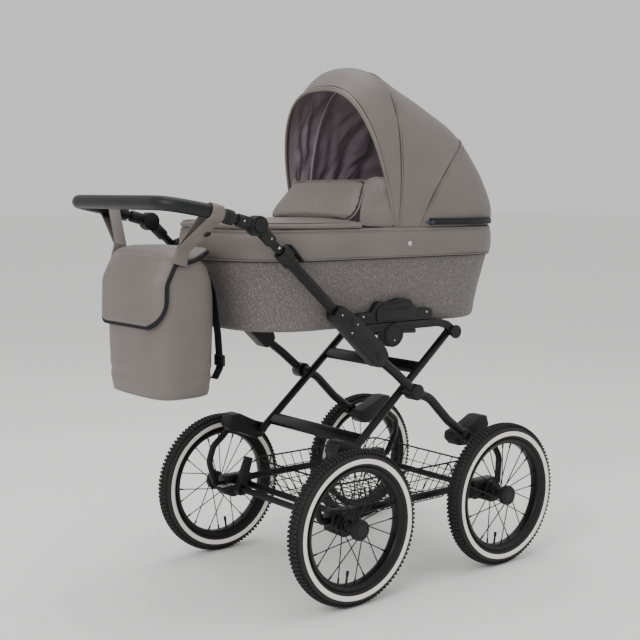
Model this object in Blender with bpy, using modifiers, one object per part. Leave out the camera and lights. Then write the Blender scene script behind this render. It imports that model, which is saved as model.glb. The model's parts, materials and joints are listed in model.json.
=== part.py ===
"""A retro pram: a wire-wheeled chassis on C-springs that folds as an X, with a lift-off carrycot,
its hood and apron, and a bag hung on the handle.

Metres, +Z up, the ground at z = 0. +X is the way the pram is pushed, so the handle is at -X, and
+Y is its left side. Angles in the side view are in degrees up from +X."""

import math

import bmesh
import bpy
from mathutils import Matrix, Vector

# Overall sizes
COT_LENGTH = 0.814
COT_WIDTH = 0.394
COT_HEIGHT = 0.223
WHEELBASE = 0.473
WHEEL_RADIUS = 0.174
FRAME_HEIGHT = 0.424  # from the axles up to the middle of the seat rails
ARM_LENGTH = 0.4375  # from the fold joint to the handle joint
BEND_TO_CROSSBAR = 0.0876  # the handle's end, behind the bends of its arms
BEND_RISE = 0.016  # and above them
HOOD_HEIGHT = 0.3675  # above the carrycot's rim
BAG_WIDTH = 0.25
BAG_DEPTH = 0.155
BAG_HEIGHT = 0.300

# Where the middles stand along the pram
CHASSIS_X = 0.1345
COT_X = 0.079

# Tubes, bars and plates
ARM_RADIUS = 0.0115
INNER_ARM_RADIUS = 0.0092
LEG_RADIUS = 0.011
BACK_LEG_RADIUS = 0.0095
RAIL_WIDTH = 0.0125
RAIL_DEPTH = 0.018
HOUSING_WIDTH = 0.035
HOUSING_SLOT = 0.0245
SHOE_WIDTH = 0.045
AXLE_RADIUS = 0.0058
AXLE_BAR_RADIUS = 0.008
SIDE_RAIL_RADIUS = 0.009
SPRING_RADIUS = 0.008
STUD_RADIUS = 0.0055
GRIP_RADIUS = 0.0145
BAR_RADIUS = 0.0100
KNOB_RADIUS = 0.0205
WIRE = 0.0028
TYRE_HALF_WIDTH = 0.0218

# Clearances
RAIL_TUCK = 0.0035  # how far the seat rails stand inside the line of the rim
RAIL_TO_HOUSING = 0.001
SLIDE_GAP = 0.0015  # between plates that swing past each other
REST_GAP = 0.0005  # between pieces that touch
BORE_GAP = 0.0010  # added to a stud's radius for its hole
LEG_TO_WHEEL = 0.047  # from a front leg's centre to the wheel's plane
COT_TO_BAG = 0.024
BAG_TO_CROSSBAR = 0.0235

# Angles of the frame at rest
ARM_ANGLE = 138.0
BAR_ANGLE = 165.0  # the handle's arms, behind the handle joint

# Planes of each side, as distances from the middle of the pram
RAIL_OUTER_Y = COT_WIDTH / 2 - RAIL_TUCK
LEG_Y = RAIL_OUTER_Y + RAIL_TO_HOUSING + HOUSING_WIDTH / 2
RAIL_Y = RAIL_OUTER_Y - RAIL_WIDTH / 2
BACK_LEG_Y = RAIL_OUTER_Y - RAIL_WIDTH - SLIDE_GAP - BACK_LEG_RADIUS
WHEEL_Y = LEG_Y + LEG_TO_WHEEL

# Points of the side view, as (x, z)
AXLE_Z = WHEEL_RADIUS
FRONT_AXLE = Vector((CHASSIS_X + WHEELBASE / 2, AXLE_Z))
BACK_AXLE = Vector((CHASSIS_X - WHEELBASE / 2, AXLE_Z))
BACK_FOOT = BACK_AXLE + Vector((0.072, 0.1435))
FRONT_FOOT = FRONT_AXLE + Vector((-0.082, 0.149))
RAIL_Z = AXLE_Z + FRAME_HEIGHT
RAIL_PIVOT = Vector((CHASSIS_X + 0.138, RAIL_Z - 0.026))
CROSS_PIVOT = (BACK_FOOT + RAIL_PIVOT) / 2
FOLD_PIVOT = CROSS_PIVOT + Vector((-0.1233, 0.0962))
RAIL_TAIL = FOLD_PIVOT + Vector((-0.076, 0.080))
COT_BOTTOM_Z = RAIL_Z + 0.002
COT_TOP_Z = COT_BOTTOM_Z + COT_HEIGHT

WELD = 1e-5


def direction(angle):
    return Vector((math.cos(math.radians(angle)), math.sin(math.radians(angle))))


KNOB = FOLD_PIVOT + direction(ARM_ANGLE) * ARM_LENGTH
COT_FOOT_X = COT_X - COT_LENGTH / 2
COT_HEAD_X = COT_X + COT_LENGTH / 2
BAG_FRONT_X = COT_FOOT_X - COT_TO_BAG
BAG_BACK_X = BAG_FRONT_X - BAG_DEPTH
BAR_WAY = direction(BAR_ANGLE)
CROSSBAR_X = BAG_BACK_X - BAG_TO_CROSSBAR
BAR_BEND = KNOB + BAR_WAY * (KNOB.x - CROSSBAR_X - BEND_TO_CROSSBAR) / -BAR_WAY.x
CROSSBAR = Vector((CROSSBAR_X, BAR_BEND.y + BEND_RISE))
SIDES = (("left", 1), ("right", -1))

for old in list(bpy.data.objects):
    bpy.data.objects.remove(old)

parts = bpy.data.collections.new("retro_pram")
bpy.context.scene.collection.children.link(parts)


# Materials
def material(name, colour, roughness, metallic=0.0):
    made = bpy.data.materials.new(name)
    made.use_nodes = True
    shader = made.node_tree.nodes["Principled BSDF"]
    shader.inputs["Base Color"].default_value = (*colour, 1)
    shader.inputs["Roughness"].default_value = roughness
    shader.inputs["Metallic"].default_value = metallic
    return made


BLACK_PAINT = material("black_powder_coat", (0.012, 0.012, 0.013), 0.45)
BLACK_PLASTIC = material("black_plastic", (0.014, 0.014, 0.015), 0.55)
TYRE_RUBBER = material("tyre_rubber", (0.02, 0.02, 0.022), 0.8)
GRIP_LEATHER = material("grip_leatherette", (0.012, 0.012, 0.013), 0.5)
LEATHERETTE = material("taupe_leatherette", (0.19, 0.165, 0.15), 0.55)
TUB_FABRIC = material("taupe_fabric", (0.15, 0.13, 0.12), 0.9)
FOAM = material("mattress_cotton", (0.75, 0.74, 0.72), 0.9)
STEEL = material("bright_steel", (0.6, 0.6, 0.6), 0.3, 1.0)


# Tools: every maker leaves one object, as a closed mesh in the world's place
def placed(obj, matrix=None):
    if matrix is not None:
        obj.matrix_world = matrix
    for holder in list(obj.users_collection):
        holder.objects.unlink(obj)
    parts.objects.link(obj)
    bpy.context.view_layer.update()
    return obj


def as_mesh(obj):
    """The object with its modifiers applied, its doubles merged and its faces turned outwards."""
    graph = bpy.context.evaluated_depsgraph_get()
    mesh = bpy.data.meshes.new_from_object(obj.evaluated_get(graph))
    body = bmesh.new()
    body.from_mesh(mesh)
    bmesh.ops.remove_doubles(body, verts=body.verts, dist=WELD)
    bmesh.ops.recalc_face_normals(body, faces=body.faces)
    body.to_mesh(mesh)
    body.free()
    mesh.transform(obj.matrix_world)
    if obj.matrix_world.determinant() < 0:
        mesh.flip_normals()
    name = obj.name
    bpy.data.objects.remove(obj)
    return placed(bpy.data.objects.new(name, mesh))


def boolean(obj, other, operation):
    step = obj.modifiers.new(operation.lower(), "BOOLEAN")
    step.operation = operation
    step.object = other
    obj = as_mesh(obj)
    bpy.data.objects.remove(other)
    return obj


def joined(obj, *others):
    for other in others:
        obj = boolean(obj, other, "UNION")
    return obj


def cut(obj, *others):
    for other in others:
        obj = boolean(obj, other, "DIFFERENCE")
    return obj


def cylinder(name, start, end, radius, sides=12):
    """A round bar between two points, with a flat of its polygon facing along the pram."""
    start, end = Vector(start), Vector(end)
    mesh = bpy.data.meshes.new(name)
    body = bmesh.new()
    bmesh.ops.create_cone(
        body, cap_ends=True, segments=sides, radius1=radius, radius2=radius, depth=(end - start).length
    )
    body.to_mesh(mesh)
    body.free()
    turn = (end - start).to_track_quat("Z", "Y").to_matrix().to_4x4()
    obj = placed(bpy.data.objects.new(name, mesh), Matrix.Translation((start + end) / 2) @ turn)
    return as_mesh(obj)


def pin(name, point, inner, outer, radius, side, sides=12):
    """A round bar across the pram, from one distance off the middle to another."""
    start = (point[0], side * inner, point[1])
    return cylinder(name, start, (point[0], side * outer, point[1]), radius, sides)


def box(name, low, high, bevel=0.0):
    low, high = Vector(low), Vector(high)
    mesh = bpy.data.meshes.new(name)
    body = bmesh.new()
    bmesh.ops.create_cube(body, size=1)
    bmesh.ops.scale(body, vec=high - low, verts=body.verts)
    bmesh.ops.translate(body, vec=(low + high) / 2, verts=body.verts)
    body.to_mesh(mesh)
    body.free()
    obj = placed(bpy.data.objects.new(name, mesh))
    if bevel:
        edges = obj.modifiers.new("edges", "BEVEL")
        edges.width = bevel
        edges.segments = 2
        obj = as_mesh(obj)
    return obj


def turned(name, profile, matrix, steps=16, closed=False, phase=0.0):
    """A lathe shape about local Z from (radius, height) points that run down the outer side."""
    mesh = bpy.data.meshes.new(name)
    edges = [(i, i + 1) for i in range(len(profile) - 1)]
    if closed:
        edges.append((len(profile) - 1, 0))
    mesh.from_pydata([(r, 0, h) for r, h in profile], edges, [])
    obj = placed(bpy.data.objects.new(name, mesh), matrix @ Matrix.Rotation(phase, 4, "Z"))
    screw = obj.modifiers.new("turn", "SCREW")
    screw.steps = screw.render_steps = steps
    screw.use_merge_vertices = True
    screw.merge_threshold = WELD
    return as_mesh(obj)


def tube(name, points, radius, roundness=2):
    """A round tube on a polyline of points, with closed ends and 4 + 2 x roundness sides."""
    curve = bpy.data.curves.new(name, "CURVE")
    curve.dimensions = "3D"
    curve.bevel_depth = radius
    curve.bevel_resolution = roundness
    curve.use_fill_caps = True
    line = curve.splines.new("POLY")
    line.points.add(len(points) - 1)
    for spot, point in zip(line.points, points):
        spot.co = (*point, 1)
    return as_mesh(placed(bpy.data.objects.new(name, curve)))


def plate(name, outline, inner, outer, side=1):
    """A flat outline in the side view, as (x, z), between two distances off the middle."""
    curve = bpy.data.curves.new(name, "CURVE")
    curve.dimensions = "2D"
    curve.fill_mode = "BOTH"
    curve.extrude = (outer - inner) / 2
    line = curve.splines.new("POLY")
    line.points.add(len(outline) - 1)
    for spot, point in zip(line.points, outline):
        spot.co = (*point, 0, 1)
    line.use_cyclic_u = True
    stand = Matrix.Translation((0, side * (inner + outer) / 2, 0)) @ Matrix.Rotation(math.pi / 2, 4, "X")
    return as_mesh(placed(bpy.data.objects.new(name, curve), stand))


def rounded(points, radius, steps=4):
    """The polyline with an arc in place of each inner corner."""
    points = [Vector(p) for p in points]
    path = [points[0]]
    for before, corner, after in zip(points, points[1:], points[2:]):
        a, b = (before - corner).normalized(), (after - corner).normalized()
        half = a.angle(b) / 2
        reach = min(radius / math.tan(half), (before - corner).length / 2, (after - corner).length / 2)
        for i in range(steps + 1):
            t = i / steps
            start, end = corner + a * reach, corner + b * reach
            path.append(start * (1 - t) ** 2 + corner * 2 * t * (1 - t) + end * t**2)
    return path + [points[-1]]


def strip(path, half_width):
    """The outline of a band of even width along a flat polyline."""
    path = [Vector(p) for p in path]
    sides = ([], [])
    for i, spot in enumerate(path):
        along = (path[min(i + 1, len(path) - 1)] - path[max(i - 1, 0)]).normalized()
        across = Vector((-along.y, along.x)) * half_width
        sides[0].append(spot + across)
        sides[1].append(spot - across)
    return sides[0] + sides[1][::-1]


def loft(name, rings, close_start=True, close_end=True, thickness=0.0, along=True):
    """A skin over rings of equal point counts. A thickness makes an open skin into a shell."""
    mesh = bpy.data.meshes.new(name)
    body = bmesh.new()
    rows = [[body.verts.new(p) for p in ring] for ring in rings]
    count = len(rings[0])
    for low, high in zip(rows, rows[1:]):
        for i in range(count if along else count - 1):
            j = (i + 1) % count
            body.faces.new((low[i], low[j], high[j], high[i]))
    if close_start:
        body.faces.new(rows[0])
    if close_end:
        body.faces.new(rows[-1])
    bmesh.ops.recalc_face_normals(body, faces=body.faces)
    body.to_mesh(mesh)
    body.free()
    obj = placed(bpy.data.objects.new(name, mesh))
    if thickness:
        wall = obj.modifiers.new("wall", "SOLIDIFY")
        wall.thickness = thickness
        wall.offset = -1
        wall.use_even_offset = True
    return as_mesh(obj)


def plan_ring(middle_x, half_length, half_width, corner, z, per_corner=7):
    """A level rounded rectangle, counted round from the left front corner."""
    ring = []
    corner = min(corner, half_width, half_length)
    for quarter, (sx, sy) in enumerate(((1, 1), (-1, 1), (-1, -1), (1, -1))):
        centre = Vector((middle_x + sx * (half_length - corner), sy * (half_width - corner)))
        for i in range(per_corner):
            angle = math.radians(90 * (quarter + i / (per_corner - 1)))
            spot = centre + Vector((math.cos(angle), math.sin(angle))) * corner
            ring.append((spot.x, spot.y, z))
    return ring


def finish(obj, name, paint, smooth=30):
    obj.name = name
    obj.data.name = name
    obj.data.materials.clear()
    obj.data.materials.append(paint)
    if smooth:
        obj.data.shade_smooth()
        obj.data.set_sharp_from_angle(angle=math.radians(smooth))
    return obj


def joint_empty(name, point, y=0.0):
    empty = bpy.data.objects.new(name, None)
    return placed(empty, Matrix.Translation((point[0], y, point[1])))


def carry(empty, *objects):
    """Hang the objects on the empty that marks their joint, without moving them."""
    for obj in objects:
        obj.parent = empty
        obj.matrix_parent_inverse = empty.matrix_world.inverted()


# Wheels: pneumatic tyre, and the rim laced to its hub with wire spokes
WHEEL_STEPS = 32
SPOKES = 16
RING_RADIUS = WHEEL_RADIUS - TYRE_HALF_WIDTH  # middle of the tyre's section
RIM_SEAT_RADIUS = RING_RADIUS - TYRE_HALF_WIDTH - 0.0008
RIM_FLANGE_RADIUS = RIM_SEAT_RADIUS + 0.006
RIM_HALF_WIDTH = 0.0165
RIM_INNER_RADIUS = RIM_SEAT_RADIUS - 0.0055
HUB_BACK = 0.033  # from the wheel's plane inwards
HUB_FACE = 0.030  # from the wheel's plane outwards to the cap's face
CAP_RADIUS = 0.0235
SPOKE_FLANGE_RADIUS = 0.0185
WHEEL_TURN = Matrix.Rotation(-math.pi / 2, 4, "X")  # local Z becomes outboard, +Y


def tyre_mesh():
    """The section is an octagon with a flat tread, and a flat of the wheel lies on the ground."""
    flat = math.cos(math.pi / 8)
    spread = 1 / math.cos(math.pi / WHEEL_STEPS)
    section = []
    for i in range(8):
        angle = math.pi / 8 - i * math.pi / 4
        r = RING_RADIUS + TYRE_HALF_WIDTH * math.cos(angle) / flat
        section.append((r * spread, TYRE_HALF_WIDTH * math.sin(angle) / flat))
    section = section[1:] + section[:1]
    return turned("tyre", section, WHEEL_TURN, WHEEL_STEPS, True, math.pi / WHEEL_STEPS)


def wheel_mesh():
    spread = 1 / math.cos(math.pi / WHEEL_STEPS)
    rim = [
        (RIM_FLANGE_RADIUS, RIM_HALF_WIDTH),
        (RIM_INNER_RADIUS, 0.0125),
        (RIM_INNER_RADIUS, -0.0125),
        (RIM_FLANGE_RADIUS, -RIM_HALF_WIDTH),
        (RIM_FLANGE_RADIUS, -0.0152),
        (RIM_SEAT_RADIUS, -0.0095),
        (RIM_SEAT_RADIUS, 0.0095),
        (RIM_FLANGE_RADIUS, 0.0152),
    ]
    rim = [(r * spread, h) for r, h in reversed(rim)]
    wheel = turned("rim", rim, WHEEL_TURN, WHEEL_STEPS, True, math.pi / WHEEL_STEPS)
    bore = AXLE_RADIUS + BORE_GAP
    hub = [
        (0, HUB_FACE),
        (CAP_RADIUS - 0.0035, HUB_FACE),
        (CAP_RADIUS, HUB_FACE - 0.003),
        (CAP_RADIUS, 0.013),
        (0.0150, 0.010),
        (0.0140, -0.013),
        (SPOKE_FLANGE_RADIUS + 0.003, -0.015),
        (SPOKE_FLANGE_RADIUS + 0.003, -0.019),
        (0.0150, -0.021),
        (0.0150, -0.024),
        (0.0265, -0.025),
        (0.0265, -HUB_BACK),
        (bore, -HUB_BACK),
        (bore, 0.010),
        (0, 0.010),
    ]
    hub = turned("hub", hub, WHEEL_TURN, 12)
    spokes = None
    for i in range(SPOKES):
        outer_flange = i % 2 == 0
        angle = 2 * math.pi * i / SPOKES + math.pi / SPOKES
        lean = math.radians(38 if outer_flange else -38)
        y = 0.0155 if outer_flange else -0.017
        start = Vector((math.cos(angle + lean) * 0.0185, y, math.sin(angle + lean) * 0.0185))
        reach = RIM_INNER_RADIUS + 0.003
        end = Vector((math.cos(angle) * reach, math.copysign(0.004, y), math.sin(angle) * reach))
        spoke = cylinder("spoke", start, end, 0.0014, 4)
        spokes = spoke if spokes is None else merged(spokes, spoke)
    return joined(wheel, joined(hub, spokes))


def merged(obj, other):
    """Two meshes that don't touch, as one object, for a single Boolean."""
    body = bmesh.new()
    body.from_mesh(obj.data)
    body.from_mesh(other.data)
    body.to_mesh(obj.data)
    body.free()
    bpy.data.objects.remove(other)
    return obj


first_tyre = tyre_mesh().data
first_wheel = wheel_mesh().data
for old in list(parts.objects):
    bpy.data.objects.remove(old)
for end, axle in (("front", FRONT_AXLE), ("back", BACK_AXLE)):
    for side_name, side in SIDES:
        hub_empty = joint_empty(f"{end}_{side_name}_wheel_spin", axle, side * WHEEL_Y)
        turn = Matrix.Rotation(0 if side > 0 else math.pi, 4, "Z")
        for kind, mesh, paint in (("tyre", first_tyre, TYRE_RUBBER), ("wheel", first_wheel, BLACK_PAINT)):
            obj = placed(bpy.data.objects.new(kind, mesh.copy()), hub_empty.matrix_world @ turn)
            finish(obj, f"{end}_{side_name}_{kind}", paint, 40)
            carry(hub_empty, obj)


# Chassis: two axles with their end blocks, side rails, C-springs and the shoes on top of them
BLOCK_INNER_Y = LEG_Y - 0.024
BLOCK_OUTER_Y = WHEEL_Y - HUB_BACK - 0.0035
SIDE_RAIL_Z = AXLE_Z + 0.016
SIDE_RAIL_Y = LEG_Y - 0.010
BLOCK_INWARD = 0.051  # from the axle towards the middle of the pram
BLOCK_OUTWARD = 0.028
SECOND_BAR = 0.036
SHOE_TOP = ((-0.014, 0.183), (0.012, 0.184), (0.055, 0.163), (0.093, 0.150), (0.095, 0.132))
SHOE_UNDER = ((0.080, 0.118), (0.058, 0.116), (0.012, 0.136), (-0.012, 0.142), (-0.022, 0.160))
SPRING_PATH = (
    (-0.0286, 0.0085),
    (-0.0480, 0.0085),
    (-0.0680, 0.0700),
    (-0.0560, 0.1080),
    (-0.030, 0.128),
    (-0.018, 0.1395),
)


def mirrored_shape(points, axle, facing):
    """Points given inwards and upwards from an axle. Facing is 1 at the back and -1 at the front."""
    return [axle + Vector((facing * x, z)) for x, z in points]


for end, axle, facing in (("back", BACK_AXLE, 1), ("front", FRONT_AXLE, -1)):
    bar_z = axle.y
    spans = [(axle.x, bar_z)]
    if end == "back":
        spans.append((axle.x + SECOND_BAR, bar_z + 0.004))
    bars = None
    for x, z in spans:
        reach = BLOCK_INNER_Y + 0.007
        bar = cylinder("bar", (x, -reach, z), (x, reach, z), AXLE_BAR_RADIUS, 12)
        bars = bar if bars is None else merged(bars, bar)
    for side_name, side in SIDES:
        low_x, high_x = sorted((axle.x - facing * BLOCK_OUTWARD, axle.x + facing * BLOCK_INWARD))
        y_range = sorted((side * BLOCK_INNER_Y, side * BLOCK_OUTER_Y))
        block = box(
            "block",
            (low_x, y_range[0], axle.y - 0.0165),
            (high_x, y_range[1], axle.y + 0.030),
            0.005,
        )
        drum = pin("drum", axle, BLOCK_INNER_Y + 0.003, BLOCK_OUTER_Y + 0.002, 0.0245, side, 16)
        stub = pin("stub", axle, BLOCK_OUTER_Y - 0.01, WHEEL_Y + 0.006, AXLE_RADIUS, side)
        bars = joined(bars, joined(block, drum, stub))
    finish(bars, f"{end}_axle", BLACK_PAINT)

for side_name, side in SIDES:
    start = BACK_AXLE.x + BLOCK_INWARD + REST_GAP
    stop = FRONT_AXLE.x - BLOCK_INWARD - REST_GAP
    rail = cylinder(
        "rail",
        (start, side * SIDE_RAIL_Y, SIDE_RAIL_Z),
        (stop, side * SIDE_RAIL_Y, SIDE_RAIL_Z),
        SIDE_RAIL_RADIUS,
        10,
    )
    finish(rail, f"{side_name}_side_rail", BLACK_PAINT)

    for end, axle, facing in (("back", BACK_AXLE, 1), ("front", FRONT_AXLE, -1)):
        # the front leg swings past the outside of its shoe, the back leg past the inside
        if end == "back":
            shoe_inner = BACK_LEG_Y + BACK_LEG_RADIUS + SLIDE_GAP
            shoe_outer = shoe_inner + SHOE_WIDTH
        else:
            shoe_outer = LEG_Y - LEG_RADIUS - SLIDE_GAP
            shoe_inner = shoe_outer - SHOE_WIDTH
        outline = mirrored_shape(SHOE_TOP + SHOE_UNDER, axle, facing)
        shoe = plate("shoe", outline, shoe_inner, shoe_outer, side)
        soften = shoe.modifiers.new("edges", "BEVEL")
        soften.width = 0.005
        soften.segments = 2
        soften.limit_method = "ANGLE"
        soften.angle_limit = math.radians(50)
        shoe = as_mesh(shoe)
        spring_y = (shoe_inner + shoe_outer) / 2
        path = [(p.x, side * spring_y, p.y) for p in mirrored_shape(SPRING_PATH, axle, facing)]
        foot_y = (BLOCK_INNER_Y + BLOCK_OUTER_Y) / 2
        for i, share in ((0, 0), (1, 0), (2, 0.5)):
            y = side * (foot_y * (1 - share) + spring_y * share)
            path[i] = (path[i][0], y, path[i][2])
        spring = tube("spring", rounded(path, 0.03, 3), SPRING_RADIUS, 2)
        socket = cylinder("socket", path[-2], Vector(path[-1]) + Vector((0, 0, 0.004)), 0.0095, 8)
        shoe = cut(shoe, socket)
        if end == "back":
            bore = STUD_RADIUS + BORE_GAP
            shoe = cut(shoe, pin("bore", BACK_FOOT, shoe_inner - 0.01, shoe_inner + 0.030, bore, side))
        finish(shoe, f"{end}_{side_name}_shoe", BLACK_PLASTIC)
        finish(spring, f"{end}_{side_name}_spring", BLACK_PAINT)

# Wire basket, low between the axles
BASKET_TOP_Z = AXLE_Z + 0.072
BASKET_FLOOR_Z = AXLE_Z - 0.022
BASKET_HALF_WIDTH = SIDE_RAIL_Y - 0.036
BASKET_BACK_X = BACK_AXLE.x + 0.040
BASKET_FRONT_X = FRONT_AXLE.x - 0.030
BASKET_TAPER = 0.052
basket_mesh = bpy.data.meshes.new("basket")
cage = bmesh.new()
LONG_CELLS = 7
WIDE_CELLS = 4
basket_mesh = bpy.data.meshes.new("basket")
cage = bmesh.new()
spots = {}
for i in range(LONG_CELLS + 1):
    for j in range(WIDE_CELLS + 1):
        x = BASKET_BACK_X + BASKET_TAPER + (
            BASKET_FRONT_X - BASKET_BACK_X - 2 * BASKET_TAPER
        ) * i / LONG_CELLS
        y = (BASKET_HALF_WIDTH - BASKET_TAPER / 2) * (2 * j / WIDE_CELLS - 1)
        spots[i, j] = cage.verts.new((x, y, BASKET_FLOOR_Z))
for i in range(LONG_CELLS):
    for j in range(WIDE_CELLS):
        cage.faces.new((spots[i, j], spots[i + 1, j], spots[i + 1, j + 1], spots[i, j + 1]))
rim_loop = (
    [(i, 0) for i in range(LONG_CELLS)]
    + [(LONG_CELLS, j) for j in range(WIDE_CELLS)]
    + [(i, WIDE_CELLS) for i in range(LONG_CELLS, 0, -1)]
    + [(0, j) for j in range(WIDE_CELLS, 0, -1)]
)
rim_spots = []
for i, j in rim_loop:
    x = BASKET_BACK_X + (BASKET_FRONT_X - BASKET_BACK_X) * i / LONG_CELLS
    y = BASKET_HALF_WIDTH * (2 * j / WIDE_CELLS - 1)
    rim_spots.append(cage.verts.new((x, y, BASKET_TOP_Z)))
for k, (i, j) in enumerate(rim_loop):
    m = (k + 1) % len(rim_loop)
    cage.faces.new((spots[i, j], spots[rim_loop[m]], rim_spots[m], rim_spots[k]))
bmesh.ops.recalc_face_normals(cage, faces=cage.faces)
holes = list(cage.faces)
bmesh.ops.inset_individual(cage, faces=holes, thickness=WIRE / 2, use_even_offset=True)
bmesh.ops.delete(cage, geom=holes, context="FACES")
cage.to_mesh(basket_mesh)
cage.free()
basket = placed(bpy.data.objects.new("basket", basket_mesh))
wires = basket.modifiers.new("wires", "SOLIDIFY")
wires.thickness = WIRE
wires.offset = 0
wires.use_even_offset = True
finish(as_mesh(basket), "basket", BLACK_PAINT)

# Foot brake: a rocker on the back axle, inboard of the left wheel
BRAKE_Y = BLOCK_INNER_Y - 0.018
BRAKE_WIDTH = 0.026
brake_empty = joint_empty("brake_pivot", BACK_AXLE, BRAKE_Y)
rocker = plate(
    "rocker",
    [
        BACK_AXLE + Vector(p)
        for p in (
            (-0.016, -0.002),
            (-0.013, 0.012),
            (0.000, 0.024),
            (0.022, 0.076),
            (0.031, 0.074),
            (0.016, 0.026),
            (0.014, 0.010),
            (0.014, -0.008),
            (0.006, -0.015),
            (-0.008, -0.015),
        )
    ],
    BRAKE_Y - BRAKE_WIDTH / 2,
    BRAKE_Y + BRAKE_WIDTH / 2,
)
tread = box(
    "tread",
    (BACK_AXLE.x - 0.062, BRAKE_Y - BRAKE_WIDTH / 2 + 0.001, AXLE_Z + 0.004),
    (BACK_AXLE.x - 0.005, BRAKE_Y + BRAKE_WIDTH / 2 - 0.001, AXLE_Z + 0.012),
    0.002,
)
rocker = joined(rocker, tread)
axle_hole = AXLE_BAR_RADIUS + BORE_GAP
rocker = cut(rocker, pin("hole", BACK_AXLE, BRAKE_Y - 0.03, BRAKE_Y + 0.03, axle_hole, 1, 16))
finish(rocker, "brake_pedal", BLACK_PLASTIC)
tread_top = box(
    "tread_top",
    (BACK_AXLE.x - 0.060, BRAKE_Y - BRAKE_WIDTH / 2 + 0.003, AXLE_Z + 0.012 + REST_GAP),
    (BACK_AXLE.x - 0.018, BRAKE_Y + BRAKE_WIDTH / 2 - 0.003, AXLE_Z + 0.0145),
)
finish(tread_top, "brake_tread", STEEL)
carry(brake_empty, rocker, tread_top)

# Back legs with their cross tubes: the first half of the X
fold_empty = joint_empty("frame_fold", BACK_FOOT)
leg_line = (RAIL_PIVOT - BACK_FOOT).normalized()
for side_name, side in SIDES:
    bottom = BACK_FOOT - leg_line * 0.010
    top = RAIL_PIVOT + leg_line * 0.010
    leg = cylinder(
        "leg",
        (bottom.x, side * BACK_LEG_Y, bottom.y),
        (top.x, side * BACK_LEG_Y, top.y),
        BACK_LEG_RADIUS,
        12,
    )
    foot_reach = BACK_LEG_Y + BACK_LEG_RADIUS + SLIDE_GAP + 0.028
    leg = joined(
        leg,
        pin("foot_stud", BACK_FOOT, BACK_LEG_Y, foot_reach, STUD_RADIUS, side),
        pin("cross_spacer", CROSS_PIVOT, BACK_LEG_Y, LEG_Y - 0.0168, 0.0125, side),
        pin("cross_stud", CROSS_PIVOT, BACK_LEG_Y + 0.01, LEG_Y + 0.008, STUD_RADIUS, side),
        pin("rail_stud", RAIL_PIVOT, BACK_LEG_Y, RAIL_OUTER_Y + 0.003, STUD_RADIUS, side),
        pin("rail_cap", RAIL_PIVOT, RAIL_OUTER_Y + REST_GAP, RAIL_OUTER_Y + 0.0055, 0.0115, side, 16),
    )
    finish(leg, f"{side_name}_back_leg", BLACK_PAINT)
    carry(fold_empty, leg)
for name, share, reach in (("lower_cross_tube", 0.085, 0.018), ("upper_cross_tube", 0.68, 0.0175)):
    spot = BACK_FOOT.lerp(RAIL_PIVOT, share)
    half_span = BACK_LEG_Y - BACK_LEG_RADIUS - REST_GAP
    cross = cylinder("cross", (0, -half_span, 0), (0, half_span, 0), 1.0, 12)
    lean = Matrix.Rotation(-math.radians(40), 4, "Y")
    size = Matrix.Diagonal((reach, 1, 0.0085, 1))
    cross.data.transform(Matrix.Translation((spot.x, 0, spot.y)) @ lean @ size)
    finish(cross, name, BLACK_PAINT)
    carry(fold_empty, cross)

# Front legs: the other half of the X, bent forwards to the front shoes
cross_empty = joint_empty("front_leg_pivot", CROSS_PIVOT)
for side_name, side in SIDES:
    line = [
        FOLD_PIVOT,
        FOLD_PIVOT.lerp(CROSS_PIVOT, 0.5) + Vector((0.002, 0.0015)),
        CROSS_PIVOT,
        CROSS_PIVOT + Vector((0.050, -0.020)),
        CROSS_PIVOT.lerp(FRONT_FOOT, 0.68) + Vector((-0.004, 0.004)),
        FRONT_FOOT,
    ]
    line = rounded([(p.x, side * LEG_Y, p.y) for p in line], 0.06, 2)
    leg = tube("leg", line, LEG_RADIUS, 3)
    boss_inner, boss_outer = LEG_Y - 0.0160, LEG_Y + 0.0140
    leg = joined(
        leg,
        pin("eye", FOLD_PIVOT, LEG_Y - 0.0105, LEG_Y + 0.0105, 0.0135, side, 16),
        pin("boss", CROSS_PIVOT, boss_inner, boss_outer, 0.0190, side, 16),
        pin("foot", FRONT_FOOT, LEG_Y - 0.0108, LEG_Y + 0.0125, 0.0145, side, 16),
    )
    bore = STUD_RADIUS + BORE_GAP
    leg = cut(
        leg,
        pin("hole", CROSS_PIVOT, boss_inner - 0.01, LEG_Y + 0.010, bore, side),
        pin("hole", FOLD_PIVOT, LEG_Y - 0.03, LEG_Y + 0.03, bore, side),
    )
    finish(leg, f"{side_name}_front_leg", BLACK_PAINT)
    carry(cross_empty, leg)

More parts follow.
